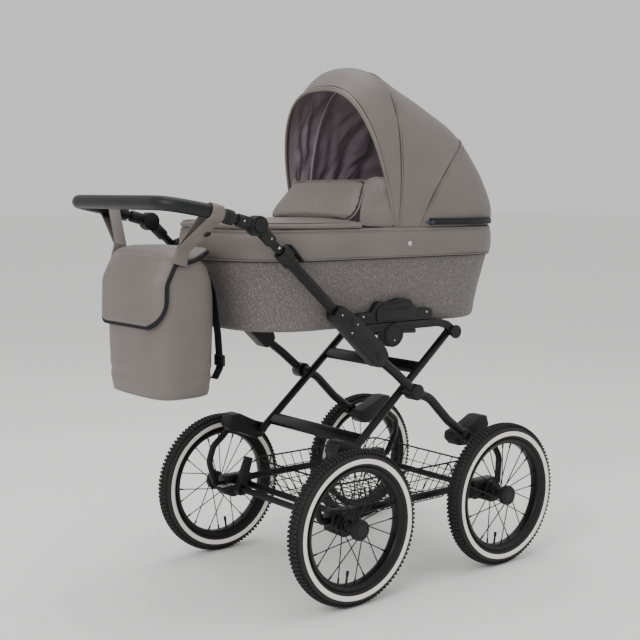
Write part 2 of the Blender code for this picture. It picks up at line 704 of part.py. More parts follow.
# Seat rails: level bars that hold the carrycot, with a receiver under each
rail_empty = joint_empty("seat_rail_pivot", RAIL_PIVOT)
RECEIVER_BACK_X = COT_X - 0.040
RECEIVER_FRONT_X = COT_X + 0.064
for side_name, side in SIDES:
    line = [
        RAIL_PIVOT,
        Vector((RAIL_PIVOT.x - 0.026, RAIL_Z - 0.007)),
        Vector((RAIL_PIVOT.x - 0.056, RAIL_Z)),
        Vector((RAIL_TAIL.x + 0.022, RAIL_Z)),
        RAIL_TAIL,
    ]
    outline = strip(rounded(line, 0.03, 3), RAIL_DEPTH / 2)
    rail = plate("rail", outline, RAIL_Y - RAIL_WIDTH / 2, RAIL_OUTER_Y, side)
    rail = joined(
        rail,
        pin("front_eye", RAIL_PIVOT, RAIL_Y - 0.0058, RAIL_Y + 0.0059, 0.0118, side, 16),
        pin("tail_eye", RAIL_TAIL, RAIL_Y - 0.0058, RAIL_Y + 0.0059, 0.0112, side, 16),
    )
    bore = STUD_RADIUS + BORE_GAP
    rail = cut(rail, pin("hole", RAIL_PIVOT, RAIL_Y - 0.03, RAIL_Y + 0.03, bore, side))
    finish(rail, f"{side_name}_seat_rail", BLACK_PAINT)
    top = RAIL_Z - RAIL_DEPTH / 2 - REST_GAP
    hub_x, hub_radius = COT_X - 0.008, 0.033
    bowl = [
        Vector((hub_x + hub_radius * math.cos(a), top - 0.008 + 0.030 * math.sin(a)))
        for a in [math.pi + math.pi * i / 10 for i in range(11)]
    ]
    outline = [
        Vector((RECEIVER_FRONT_X, top)),
        Vector((RECEIVER_BACK_X - 0.018, top)),
        Vector((RECEIVER_BACK_X - 0.018, top - 0.007)),
        *bowl,
        Vector((RECEIVER_FRONT_X, top - 0.010)),
    ]
    receiver = plate("receiver", outline, RAIL_OUTER_Y - 0.020, RAIL_OUTER_Y, side)
    finish(receiver, f"{side_name}_receiver", BLACK_PLASTIC)
    carry(rail_empty, rail, receiver)

# Fold housings: the clevis at the top of each front leg, and the lower arm tube in its socket
housing_empty = joint_empty("housing_pivot", FOLD_PIVOT)
SOCKET_START = 0.120
ARM_TOP = 0.350
HOUSING_LENGTH = 0.163
LUG_TOP = 0.0200
LEVER_JOINT = Vector((0.348, 0.0245))
LEVER_UNDER = LUG_TOP + 0.0022
arm_way = direction(ARM_ANGLE)


def arm_place(side):
    """A frame on the fold joint: local X runs up the arm, local Y is up and forwards off it."""
    across = Vector((arm_way.y, 0, -arm_way.x))
    columns = (Vector((arm_way.x, 0, arm_way.y)), across, Vector((0, 1, 0)))
    turn = Matrix(columns).transposed().to_4x4()
    return Matrix.Translation((FOLD_PIVOT.x, side * LEG_Y, FOLD_PIVOT.y)) @ turn


def arm_plate(name, outline, low, high, side):
    """An outline of (along the arm, off the arm) points, from low to high across the pram."""
    flat = plate(name, outline, -high, -low)
    upright = Matrix.Rotation(-math.pi / 2, 4, "X")
    flat.data.transform(arm_place(side) @ upright)
    return flat


def arm_point(along, off=0.0):
    return FOLD_PIVOT + arm_way * along + Vector((arm_way.y, -arm_way.x)) * off


def arm_tube(name, start, stop, radius, side, sides=14):
    low, high = arm_point(start), arm_point(stop)
    return cylinder(
        name, (low.x, side * LEG_Y, low.y), (high.x, side * LEG_Y, high.y), radius, sides
    )


for side_name, side in SIDES:
    outline = rounded(
        [
            (0.080, -0.0245),
            (-0.023, -0.021),
            (-0.026, 0.016),
            (-0.004, 0.0245),
            (0.095, 0.0255),
            (HOUSING_LENGTH, 0.0165),
            (HOUSING_LENGTH, -0.0165),
            (0.080, -0.0245),
        ],
        0.012,
        2,
    )[1:-1]
    half = HOUSING_WIDTH / 2
    housing = arm_plate("housing", outline, -half, half, side)
    slot_half = HOUSING_SLOT / 2
    slot = arm_plate(
        "slot",
        [(-0.05, -0.0165), (0.084, -0.0165), (0.084, 0.06), (-0.05, 0.06)],
        -slot_half,
        slot_half,
        side,
    )
    socket = arm_tube("socket", SOCKET_START - 0.002, HOUSING_LENGTH + 0.02, ARM_RADIUS + 0.0007, side)
    housing = cut(housing, slot, socket)
    fold_pin = pin("fold_pin", FOLD_PIVOT, LEG_Y - 0.0145, LEG_Y + 0.019, STUD_RADIUS - 0.0005, side)
    fold_head = pin("fold_head", FOLD_PIVOT, LEG_Y + 0.015, LEG_Y + 0.0195, 0.0075, side)
    tail_head = pin("tail_head", RAIL_TAIL, LEG_Y + 0.015, LEG_Y + 0.0195, 0.0075, side)
    housing = joined(housing, fold_pin, fold_head, tail_head)
    finish(housing, f"{side_name}_fold_housing", BLACK_PLASTIC)

    outer = arm_tube("arm", SOCKET_START, ARM_TOP, ARM_RADIUS, side)
    outer = cut(outer, arm_tube("bore", 0.190, ARM_TOP + 0.02, INNER_ARM_RADIUS + 0.0008, side))
    finish(outer, f"{side_name}_lower_arm", BLACK_PAINT)

    collar = arm_tube("collar", 0.320, 0.356, 0.0162, side, 16)
    lug = arm_plate(
        "lug",
        [(0.328, 0.010), (0.354, 0.010), (0.354, LUG_TOP), (0.328, LUG_TOP)],
        -0.007,
        0.007,
        side,
    )
    collar = cut(joined(collar, lug), arm_tube("bore", 0.30, 0.38, ARM_RADIUS + 0.0008, side))
    flat_y = COT_WIDTH / 2 + REST_GAP
    beside_cot = arm_plate("flat", [(0.30, -0.03), (0.38, -0.03), (0.38, 0.03), (0.30, 0.03)],
                           *sorted((side * (flat_y - LEG_Y), side * (flat_y - LEG_Y - 0.02))), side)
    collar = cut(collar, beside_cot)
    finish(collar, f"{side_name}_collar", BLACK_PLASTIC)
    carry(housing_empty, housing, outer, collar)

    lever_joint = arm_point(*LEVER_JOINT)
    lever_empty = joint_empty(f"{side_name}_clamp_lever_pivot", lever_joint, side * LEG_Y)
    lever = arm_plate(
        "lever",
        rounded(
            [
                (0.330, LEVER_UNDER),
                (0.296, LEVER_UNDER - 0.0032),
                (0.296, LEVER_UNDER + 0.0013),
                (0.330, LEVER_UNDER + 0.0050),
                (LEVER_JOINT.x + 0.0025, LEVER_UNDER + 0.0050),
                (LEVER_JOINT.x + 0.0025, LEVER_UNDER),
                (0.330, LEVER_UNDER),
            ],
            0.002,
            1,
        )[:-1],
        -0.008,
        0.008,
        side,
    )
    finish(lever, f"{side_name}_clamp_lever", BLACK_PLASTIC)
    carry(lever_empty, lever)
    carry(housing_empty, lever_empty)

# Upper arms, which slide in the lower ones and end in the inner halves of the handle joints
extend_empty = joint_empty("handle_extend", KNOB)
KNOB_SPLIT = 0.0007  # half the gap between the joint's two discs
DISC_THICKNESS = 0.0125
INNER_ARM_START = 0.222
NECK = 0.0245  # the tubes stop this far from the joint's centre
for side_name, side in SIDES:
    inner = arm_tube("inner", INNER_ARM_START, ARM_LENGTH - NECK, INNER_ARM_RADIUS, side)
    disc = pin("disc", KNOB, LEG_Y - DISC_THICKNESS, LEG_Y - KNOB_SPLIT, KNOB_RADIUS, side, 20)
    neck_span = sorted((-side * 0.0085, -side * (KNOB_SPLIT + 0.0003)))
    neck = arm_plate(
        "neck",
        [
            (ARM_LENGTH - NECK - 0.006, -0.007),
            (ARM_LENGTH - NECK - 0.006, 0.007),
            (ARM_LENGTH - 0.010, 0.007),
            (ARM_LENGTH - 0.010, -0.007),
        ],
        *neck_span,
        side,
    )
    upper_arm = joined(inner, neck, disc)
    finish(upper_arm, f"{side_name}_upper_arm", BLACK_PAINT)
    carry(extend_empty, upper_arm)

# Handlebar: one bent tube between the outer halves of the handle joints, in a leatherette grip
handle_empty = joint_empty("handle_tilt", KNOB)
bar_start = KNOB + BAR_WAY * NECK
half_bar = [
    Vector((bar_start.x, LEG_Y, bar_start.y)),
    Vector((BAR_BEND.x, LEG_Y, BAR_BEND.y)),
    Vector((CROSSBAR.x, LEG_Y - 0.018, CROSSBAR.y)),
]
bar_path = rounded(
    half_bar + [Vector((p.x, -p.y, p.z)) for p in reversed(half_bar)],
    0.075,
    5,
)
GRIP_START_X = KNOB.x - 0.062
grip_path = [p for p in bar_path if p.x < GRIP_START_X + 0.001]
first_grip = KNOB + BAR_WAY * (KNOB.x - GRIP_START_X) / -BAR_WAY.x
grip_path = [
    Vector((first_grip.x, LEG_Y, first_grip.y)),
    *grip_path,
    Vector((first_grip.x, -LEG_Y, first_grip.y)),
]
bar = tube("bar", bar_path, BAR_RADIUS, 2)
for side_name, side in SIDES:
    disc = pin("disc", KNOB, LEG_Y + KNOB_SPLIT, LEG_Y + DISC_THICKNESS, KNOB_RADIUS, side, 20)
    neck = plate(
        "neck",
        [
            KNOB + BAR_WAY * (NECK + 0.006) + Vector((-BAR_WAY.y, BAR_WAY.x)) * 0.007,
            KNOB + BAR_WAY * 0.010 + Vector((-BAR_WAY.y, BAR_WAY.x)) * 0.007,
            KNOB + BAR_WAY * 0.010 - Vector((-BAR_WAY.y, BAR_WAY.x)) * 0.007,
            KNOB + BAR_WAY * (NECK + 0.006) - Vector((-BAR_WAY.y, BAR_WAY.x)) * 0.007,
        ],
        LEG_Y + KNOB_SPLIT + 0.0003,
        LEG_Y + 0.0085,
        side,
    )
    bar = joined(bar, neck, disc)
    recess = pin("recess", KNOB, LEG_Y + 0.0045, LEG_Y + 0.03, 0.0152, side, 16)
    bar = cut(bar, recess)
    press_empty = joint_empty(f"{side_name}_handle_button_press", KNOB, side * LEG_Y)
    button = pin("button", KNOB, LEG_Y + 0.0082, LEG_Y + 0.0172, 0.0144, side, 16)
    finish(button, f"{side_name}_handle_button", BLACK_PLASTIC)
    carry(press_empty, button)
    carry(handle_empty, press_empty)
finish(bar, "handlebar", BLACK_PAINT)
sleeve = tube("sleeve", grip_path, GRIP_RADIUS, 3)
hollow_path = [grip_path[0] + (grip_path[0] - grip_path[1]), *grip_path[1:-1],
               grip_path[-1] + (grip_path[-1] - grip_path[-2])]
sleeve = cut(sleeve, tube("hollow", hollow_path, BAR_RADIUS + 0.0012, 2))
finish(sleeve, "handle_grip", GRIP_LEATHER)
carry(handle_empty, bar, sleeve)
carry(extend_empty, handle_empty)
carry(housing_empty, extend_empty)


# Carrycot: a stiff tub with a mattress, under a padded rim band
TUB_WALL = 0.008
BAND_THICKNESS = 0.0065
BAND_HEIGHT = 0.065
BAND_LIP = 0.015
COT_CORNER = 0.17
FLOOR_INSET = 0.039  # how much shorter the tub is at its floor, at each end
SIDE_INSET = 0.018  # and how much narrower, on each side
lift_empty = joint_empty("cot_lift", (COT_X, COT_BOTTOM_Z))
half_length, half_width = COT_LENGTH / 2, COT_WIDTH / 2
wall_inset = BAND_THICKNESS + REST_GAP
BAND_LOW_Z = COT_TOP_Z - BAND_HEIGHT


def cot_ring(end_inset, side_inset, z):
    corner = COT_CORNER - min(side_inset, end_inset)
    return plan_ring(COT_X, half_length - end_inset, half_width - side_inset, corner, z)


def tub_ring(share, z, wall=0.0, shrink=0.0):
    """The tub's plan: share 0 at the top and 1 at the floor."""
    end = wall_inset + FLOOR_INSET * share + wall + shrink
    side_in = wall_inset + SIDE_INSET * share + wall + shrink
    return cot_ring(end, side_in, z)


tub = loft(
    "tub",
    [
        tub_ring(1, COT_BOTTOM_Z, 0, 0.012),
        tub_ring(1, COT_BOTTOM_Z + 0.010),
        tub_ring(0.74, COT_BOTTOM_Z + 0.068),
        tub_ring(0, BAND_LOW_Z - 0.001),
        tub_ring(0, COT_TOP_Z - 0.005),
        tub_ring(0, COT_TOP_Z - 0.005, TUB_WALL),
        tub_ring(0, BAND_LOW_Z - 0.001, TUB_WALL),
        tub_ring(0.74, COT_BOTTOM_Z + 0.068, TUB_WALL),
        tub_ring(1, COT_BOTTOM_Z + TUB_WALL, TUB_WALL),
    ],
)
finish(tub, "carrycot_tub", TUB_FABRIC)
band = loft(
    "band",
    [
        cot_ring(0, 0, BAND_LOW_Z),
        cot_ring(0, 0, COT_TOP_Z - 0.003),
        cot_ring(0.003, 0.003, COT_TOP_Z),
        cot_ring(BAND_LIP, BAND_LIP, COT_TOP_Z),
        cot_ring(BAND_LIP, BAND_LIP, COT_TOP_Z - 0.0045),
        cot_ring(BAND_THICKNESS, BAND_THICKNESS, COT_TOP_Z - 0.0045),
        cot_ring(BAND_THICKNESS, BAND_THICKNESS, BAND_LOW_Z),
        cot_ring(0, 0, BAND_LOW_Z),
    ],
    False,
    False,
)
finish(band, "rim_band", LEATHERETTE)
mattress_top = COT_BOTTOM_Z + 0.045
mattress = loft(
    "mattress",
    [
        tub_ring(1, z, TUB_WALL, shrink)
        for z, shrink in (
            (COT_BOTTOM_Z + TUB_WALL + REST_GAP, 0.012),
            (COT_BOTTOM_Z + TUB_WALL + 0.006, 0.006),
            (mattress_top - 0.008, 0.006),
            (mattress_top, 0.014),
        )
    ],
)
finish(mattress, "mattress", FOAM)
carry(lift_empty, tub, band, mattress)

# Adaptors, which stand on the seat rails and hold the carrycot's sides
ADAPTOR_INNER_Y = RAIL_OUTER_Y - 0.015
for side_name, side in SIDES:
    foot_z = RAIL_Z + RAIL_DEPTH / 2 + 0.0015
    outline = rounded(
        [
            (COT_X, foot_z),
            (COT_X + 0.118, foot_z),
            (COT_X + 0.118, foot_z + 0.026),
            (COT_X + 0.062, foot_z + 0.026),
            (COT_X + 0.046, foot_z + 0.050),
            (COT_X + 0.010, foot_z + 0.054),
            (COT_X - 0.020, foot_z + 0.046),
            (COT_X - 0.056, foot_z + 0.050),
            (COT_X - 0.072, foot_z + 0.026),
            (COT_X - 0.118, foot_z + 0.026),
            (COT_X - 0.118, foot_z),
            (COT_X, foot_z),
        ],
        0.013,
        3,
    )[:-1]
    adaptor = plate("adaptor", outline, ADAPTOR_INNER_Y, RAIL_OUTER_Y, side)
    finish(adaptor, f"{side_name}_adaptor", BLACK_PLASTIC)
    carry(lift_empty, adaptor)

# Apron over the foot end, and the flap that stands up from its edge
APRON_EDGE_X = COT_X - 0.109
APRON_THICKNESS = 0.010
FLAP_THICKNESS = 0.008


def clipped(ring, x):
    """The part of a plan ring behind x, with its cut edge straight."""
    side_y = max(p[1] for p in ring)
    kept = [p for p in ring if p[0] < x - 0.004]
    return [(x, side_y, ring[0][2]), *kept, (x, -side_y, ring[0][2])]


apron_low = COT_TOP_Z + REST_GAP
apron = loft(
    "apron",
    [
        clipped(cot_ring(inset, inset, apron_low + up), APRON_EDGE_X)
        for inset, up in ((0.001, 0), (0.001, 0.005), (0.006, 0.009), (0.02, APRON_THICKNESS))
    ],
)
finish(apron, "apron", LEATHERETTE)
flap_foot = Vector((APRON_EDGE_X + 0.003, apron_low + 0.0145))
flap_way = direction(54)
flap_across = Vector((-flap_way.y, flap_way.x)) * FLAP_THICKNESS / 2
flap_empty = joint_empty("apron_flap_fold", flap_foot)
flap_rings = []
for along, half in ((0, half_width - 0.032), (0.060, half_width - 0.040), (0.105, half_width - 0.055),
                    (0.114, half_width - 0.070)):
    spot = flap_foot + flap_way * along
    near, far = spot + flap_across, spot - flap_across
    flap_rings.append(
        [(near.x, half, near.y), (near.x, -half, near.y), (far.x, -half, far.y), (far.x, half, far.y)]
    )
flap = loft("flap", flap_rings)
finish(flap, "apron_flap", LEATHERETTE)
carry(flap_empty, flap)
carry(lift_empty, apron, flap_empty)

# Hood: a leatherette canopy over the head end, on a wire bow that turns in the tub's sides.
# Each rib of the canopy is (foot behind the head end, foot inside the cot's side, crown behind the
# head end, crown below the hood's top).
CANOPY_THICKNESS = 0.005
RIB_POINTS = 14
RIB_POWER = 2 / 2.6
HOOD_FOOT_Z = COT_TOP_Z + 0.002
HOOD_TOP_Z = COT_TOP_Z + HOOD_HEIGHT
BOW_PIVOT = Vector((COT_HEAD_X - 0.371, COT_TOP_Z - 0.023))
RIBS = (
    (0.407, 0.010, 0.480, 0.050),
    (0.404, 0.007, 0.425, 0.000),
    (0.399, 0.005, 0.372, 0.003),
    (0.372, 0.004, 0.288, 0.038),
    (0.336, 0.004, 0.202, 0.077),
    (0.286, 0.004, 0.118, 0.126),
    (0.156, 0.012, 0.052, 0.212),
    (0.066, 0.042, 0.016, 0.293),
    (0.021, 0.097, 0.000, 0.355),
)


def rib(foot, half, crown, points=RIB_POINTS):
    """An arch across the pram in a leaning plane, from (x, z) at its feet to (x, z) at its crown."""
    arch = []
    for i in range(points + 1):
        angle = math.pi * i / points
        rise = math.sin(angle) ** RIB_POWER if 0 < i < points else 0
        across = math.copysign(abs(math.cos(angle)) ** RIB_POWER, math.cos(angle)) * half
        spot = foot.lerp(crown, rise)
        arch.append((spot.x, across, spot.y))
    return arch


fold_pivot_empty = joint_empty("hood_fold", BOW_PIVOT)
canopy = loft(
    "canopy",
    [
        rib(
            Vector((COT_HEAD_X - foot, HOOD_FOOT_Z)),
            half_width - inset,
            Vector((COT_HEAD_X - crown, HOOD_TOP_Z - drop)),
        )
        for foot, inset, crown, drop in RIBS
    ],
    False,
    False,
    CANOPY_THICKNESS,
    False,
)
finish(canopy, "hood_canopy", LEATHERETTE, 50)
BOW_RADIUS = 0.004
bow_half = half_width - wall_inset - TUB_WALL - 0.008
bow_crown = Vector((COT_HEAD_X - 0.362, HOOD_TOP_Z - 0.026))
bow = tube("bow", rib(BOW_PIVOT, bow_half, bow_crown, 22), BOW_RADIUS, 1)
for side_name, side in SIDES:
    boss = pin("boss", BOW_PIVOT, bow_half - 0.003, bow_half + 0.0075, 0.011, side)
    bow = joined(bow, boss)
finish(bow, "hood_bow", BLACK_PAINT)
carry(fold_pivot_empty, bow)
carry(lift_empty, canopy, fold_pivot_empty)

# Bag: an upright satchel behind the foot end, hung on the handle's arms by two straps
BAG_CORNER = 0.050
BAG_WALL = 0.004
FLAP_WALL = 0.005
STRAP_WIDTH = 0.030
STRAP_THICKNESS = 0.003
BAG_TOP_Z = KNOB.y - 0.054
BAG_LOW_Z = BAG_TOP_Z - BAG_HEIGHT
bag_x = (BAG_FRONT_X + BAG_BACK_X) / 2
hang_x = BAG_BACK_X + 0.077
along_bar = (KNOB.x - hang_x) / -BAR_WAY.x
hang = KNOB + BAR_WAY * along_bar
tilt_empty = joint_empty("strap_swing", hang)
bag_empty = joint_empty("bag_tilt", (hang_x, BAG_TOP_Z - 0.005))


def bag_ring(inset, z):
    return plan_ring(bag_x, BAG_DEPTH / 2 - inset, BAG_WIDTH / 2 - inset, BAG_CORNER - inset, z, 4)


bag = loft(
    "bag",
    [
        bag_ring(0.014, BAG_LOW_Z),
        bag_ring(0.003, BAG_LOW_Z + 0.010),
        bag_ring(0, BAG_LOW_Z + 0.030),
        bag_ring(0, BAG_TOP_Z - 0.010),
        bag_ring(0.002, BAG_TOP_Z),
        bag_ring(0.002 + BAG_WALL, BAG_TOP_Z),
        bag_ring(BAG_WALL, BAG_LOW_Z + 0.030),
        bag_ring(BAG_WALL + 0.012, BAG_LOW_Z + BAG_WALL),
    ],
)
finish(bag, "bag_body", LEATHERETTE)
flap_hinge = Vector((BAG_FRONT_X - 0.002, BAG_TOP_Z + 0.006))
bag_flap_empty = joint_empty("bag_flap_open", flap_hinge)
profile = rounded(
    [
        flap_hinge,
        (BAG_FRONT_X - 0.075, BAG_TOP_Z + 0.014),
        (BAG_BACK_X - 0.009, BAG_TOP_Z + 0.006),
        (BAG_BACK_X - 0.0095, BAG_TOP_Z - 0.125),
    ],
    0.014,
    4,
)
bag_flap = plate("flap", strip(profile, FLAP_WALL / 2), -BAG_WIDTH / 2, BAG_WIDTH / 2)
finish(bag_flap, "bag_flap", LEATHERETTE)
carry(bag_flap_empty, bag_flap)
carry(bag_empty, bag, bag_flap_empty)

loop_radius = GRIP_RADIUS + REST_GAP + STRAP_THICKNESS / 2
for side_name, side in SIDES:
    tail_y = BAG_WIDTH / 2 + REST_GAP + STRAP_THICKNESS / 2
    tail_low = BAG_TOP_Z - 0.030 - hang.y
    knee = BAG_TOP_Z + 0.004 - hang.y
    offset = LEG_Y - tail_y
    gap = STRAP_THICKNESS + REST_GAP
    turn_start, turn_end = math.radians(150), math.radians(-80)
    loop = [
        Vector((math.cos(turn_start + (turn_end - turn_start) * i / 10),
                math.sin(turn_start + (turn_end - turn_start) * i / 10))) * loop_radius
        for i in range(11)
    ]
    route = [
        Vector((-offset, tail_low)),
        Vector((-offset, knee)),
        *loop,
        Vector((-offset + gap, knee - 0.002)),
        Vector((-offset + gap, tail_low)),
    ]
    outline = [Vector((side * p.x, p.y)) for p in strip(route, STRAP_THICKNESS / 2)]
    strap = plate("strap", outline, -STRAP_WIDTH / 2, STRAP_WIDTH / 2)
    lean = Matrix.Rotation(-math.radians(180 - BAR_ANGLE), 4, "Y").inverted()
    face = Matrix.Rotation(math.pi / 2, 4, "Z")
    place = Matrix.Translation((hang.x, side * LEG_Y, hang.y))
    strap.data.transform(place @ lean @ face)
    finish(strap, f"{side_name}_bag_strap", LEATHERETTE)
    carry(tilt_empty, strap)
carry(tilt_empty, bag_empty)
carry(handle_empty, tilt_empty)
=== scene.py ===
import json
import math

import bmesh
import bpy
import numpy as np
from mathutils import Matrix, Vector, noise
from mathutils.bvhtree import BVHTree


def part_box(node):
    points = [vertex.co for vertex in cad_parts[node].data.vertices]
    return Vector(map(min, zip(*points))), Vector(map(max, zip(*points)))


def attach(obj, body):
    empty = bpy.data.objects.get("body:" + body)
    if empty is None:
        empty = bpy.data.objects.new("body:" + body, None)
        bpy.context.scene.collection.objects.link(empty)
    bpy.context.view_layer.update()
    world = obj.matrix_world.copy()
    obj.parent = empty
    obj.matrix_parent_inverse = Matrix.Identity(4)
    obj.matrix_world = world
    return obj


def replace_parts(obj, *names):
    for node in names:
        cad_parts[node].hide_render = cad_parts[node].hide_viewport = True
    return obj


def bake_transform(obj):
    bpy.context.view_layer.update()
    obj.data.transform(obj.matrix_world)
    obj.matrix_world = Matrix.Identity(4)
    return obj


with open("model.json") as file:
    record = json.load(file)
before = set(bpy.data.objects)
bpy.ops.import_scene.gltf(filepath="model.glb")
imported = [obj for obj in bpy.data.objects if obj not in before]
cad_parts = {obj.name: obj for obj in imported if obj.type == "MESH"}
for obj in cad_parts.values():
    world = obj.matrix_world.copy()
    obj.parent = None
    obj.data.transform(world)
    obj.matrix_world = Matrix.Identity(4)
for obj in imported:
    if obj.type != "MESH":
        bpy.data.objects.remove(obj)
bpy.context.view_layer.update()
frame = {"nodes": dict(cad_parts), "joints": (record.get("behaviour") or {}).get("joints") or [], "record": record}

# Camera and studio.
# A long lens at hip height looks at the pram from behind its right side, in a white cove lit by
# large soft boxes, the way a catalogue picture is taken.
camera_data = bpy.data.cameras.new("camera")
camera_data.lens = 64.6
camera_data.sensor_width = 36
camera_data.shift_x = 0.0083
camera_data.shift_y = -0.0166
camera = bpy.data.objects.new("camera", camera_data)
yaw, pitch, roll = (math.radians(angle) for angle in (51.187, 5.758, 0.233))
forward = Vector((math.cos(yaw) * math.cos(pitch), math.sin(yaw) * math.cos(pitch), -math.sin(pitch)))
level = forward.cross(Vector((0, 0, 1))).normalized()
upward = level.cross(forward)
right = level * math.cos(roll) + upward * math.sin(roll)
upward = upward * math.cos(roll) - level * math.sin(roll)
camera.matrix_world = Matrix.Translation((-1.7015, -2.1102, 0.8994)) @ Matrix(
    (right, upward, -forward)
).transposed().to_4x4()
bpy.context.scene.collection.objects.link(camera)
bpy.context.scene.camera = camera


def linear(hex_code, alpha=1.0):
    """An sRGB hex colour as the linear values that a shader takes."""
    channels = [int(hex_code[i : i + 2], 16) / 255 for i in (0, 2, 4)]
    return (*[c / 12.92 if c <= 0.04045 else ((c + 0.055) / 1.055) ** 2.4 for c in channels], alpha)


def node(tree, kind, inputs=None, **settings):
    """A node with its settings, and with its inputs set to values or linked to sockets."""
    made = tree.nodes.new(kind)
    for key, value in settings.items():
        setattr(made, key, value)
    for key, value in (inputs or {}).items():
        if isinstance(value, bpy.types.NodeSocket):
            tree.links.new(value, made.inputs[key])
        else:
            made.inputs[key].default_value = value
    return made


def new_material(name, base, roughness, metallic=0.0, **more):
    """A Principled material. More are further sockets, with _ for a space."""
    made = bpy.data.materials.new(name)
    made.use_nodes = True
    shader = made.node_tree.nodes["Principled BSDF"]
    shader.inputs["Base Color"].default_value = linear(base)
    shader.inputs["Roughness"].default_value = roughness
    shader.inputs["Metallic"].default_value = metallic
    for key, value in more.items():
        shader.inputs[key.replace("_", " ")].default_value = value
    return made, made.node_tree, shader


cove = bpy.data.meshes.new("floor")
cove.from_pydata([(-40, -40, 0), (40, -40, 0), (40, 40, 0), (-40, 40, 0)], [], [(0, 1, 2, 3)])
floor = bpy.data.objects.new("floor", cove)
bpy.context.scene.collection.objects.link(floor)
# Matt white paper: it shows only soft contact shadows
paper, _, _ = new_material("matt_white_paper", "f7f7f6", 0.95)
cove.materials.append(paper)

world = bpy.data.worlds.new("white_studio")
world.use_nodes = True
world.node_tree.nodes["Background"].inputs["Color"].default_value = (1.0, 1.0, 1.0, 1)
world.node_tree.nodes["Background"].inputs["Strength"].default_value = 0.80
bpy.context.scene.world = world
for name, place, size, power in (
    ("key_box", (-3.4, -1.3, 2.4), 2.2, 74),
    ("top_box", (0.3, 0.2, 3.4), 2.4, 42),
    ("fill_box", (2.6, -3.0, 1.8), 2.4, 12),
):
    light = bpy.data.lights.new(name, "AREA")
    light.size = size
    light.energy = power
    lamp = bpy.data.objects.new(name, light)
    lamp.location = place
    lamp.rotation_euler = (Vector((0.05, 0, 0.6)) - Vector(place)).to_track_quat("-Z", "Y").to_euler()
    bpy.context.scene.collection.objects.link(lamp)

# Tyres.
# Pneumatic pram tyres of black rubber with a diagonal block tread and a moulded white ring on
# each wall. The carcass is turned; the blocks are repeated round it.
WHEELS = [f"{end}_{side}" for end in ("front", "back") for side in ("left", "right")]
tyre_low, tyre_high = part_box("front_left_tyre")
TYRE_RADIUS = (tyre_high.z - tyre_low.z) / 2
TYRE_HALF = (tyre_high.y - tyre_low.y) / 2
BLOCK_HEIGHT = 0.0012
TYRE_RING = TYRE_RADIUS - TYRE_HALF
RUBBER_GRAIN = 1 / 0.0008


def bumped(tree, shader, pattern, strength, distance):
    bump = node(tree, "ShaderNodeBump", {"Height": pattern, "Strength": strength, "Distance": distance})
    tree.links.new(bump.outputs["Normal"], shader.inputs["Normal"])


# Vulcanised rubber: matt, with a dusty bloom that lifts the black
rubber, tree, shader = new_material("vulcanised_rubber", "131314", 0.74)
place = node(tree, "ShaderNodeTexCoord").outputs["Object"]
bloom = node(tree, "ShaderNodeTexNoise", {"Vector": place, "Scale": 60.0, "Detail": 4.0})
grain = node(tree, "ShaderNodeTexNoise", {"Vector": place, "Scale": RUBBER_GRAIN, "Detail": 2.0})
tint = node(tree, "ShaderNodeMix", {"Factor": bloom.outputs["Fac"]}, data_type="RGBA")
tint.inputs[6].default_value = linear("0e0e0f")
tint.inputs[7].default_value = linear("1c1c1e")
tree.links.new(tint.outputs[2], shader.inputs["Base Color"])
bumped(tree, shader, grain.outputs["Fac"], 0.25, 0.0004)
# White wall: the same rubber pigmented white, a little yellowed and marked
white_wall, tree, shader = new_material("white_wall_rubber", "ecebe7", 0.55)
place = node(tree, "ShaderNodeTexCoord").outputs["Object"]
marks = node(tree, "ShaderNodeTexNoise", {"Vector": place, "Scale": 35.0, "Detail": 6.0})
tint = node(tree, "ShaderNodeMix", {"Factor": marks.outputs["Fac"]}, data_type="RGBA")
tint.inputs[6].default_value = linear("f4f3f0")
tint.inputs[7].default_value = linear("dedcd6")
tree.links.new(tint.outputs[2], shader.inputs["Base Color"])
bumped(tree, shader, marks.outputs["Fac"], 0.1, 0.0005)


def new_piece(name, points, faces, *materials):
    mesh = bpy.data.meshes.new(name)
    mesh.from_pydata([tuple(p) for p in points], [], faces)
    for finish in materials:
        mesh.materials.append(finish)
    made = bpy.data.objects.new(name, mesh)
    bpy.context.scene.collection.objects.link(made)
    return made


def smoothed(piece, angle=40, outwards=True):
    """Doubles merged, faces turned outwards and every edge under the angle shaded round."""
    body = bmesh.new()
    body.from_mesh(piece.data)
    bmesh.ops.remove_doubles(body, verts=body.verts, dist=1e-6)
    if outwards:
        bmesh.ops.recalc_face_normals(body, faces=body.faces)
    body.to_mesh(piece.data)
    body.free()
    piece.data.shade_smooth()
    piece.data.set_sharp_from_angle(angle=math.radians(angle))
    return piece


def turned(name, profile, steps, *materials, closed=False, ring_of=None):
    """A lathe shape about Y, from (radius, y) points. ring_of gives a material index by face."""
    count = len(profile)
    points = []
    for step in range(steps):
        angle = 2 * math.pi * step / steps
        points += [(r * math.cos(angle), y, r * math.sin(angle)) for r, y in profile]
    faces = []
    for step in range(steps):
        here, there = step * count, (step + 1) % steps * count
        for i in range(count if closed else count - 1):
            j = (i + 1) % count
            faces.append((here + i, here + j, there + j, there + i))
    made = new_piece(name, points, faces, *materials)
    if ring_of:
        for face in made.data.polygons:
            centre = face.center
            face.material_index = ring_of(math.hypot(centre.x, centre.z), centre.y)
    return smoothed(made)


def applied(piece):
    """The piece as a plain mesh, with its modifiers made real."""
    mesh = bpy.data.meshes.new_from_object(piece.evaluated_get(bpy.context.evaluated_depsgraph_get()))
    piece.modifiers.clear()
    piece.data = mesh
    return piece


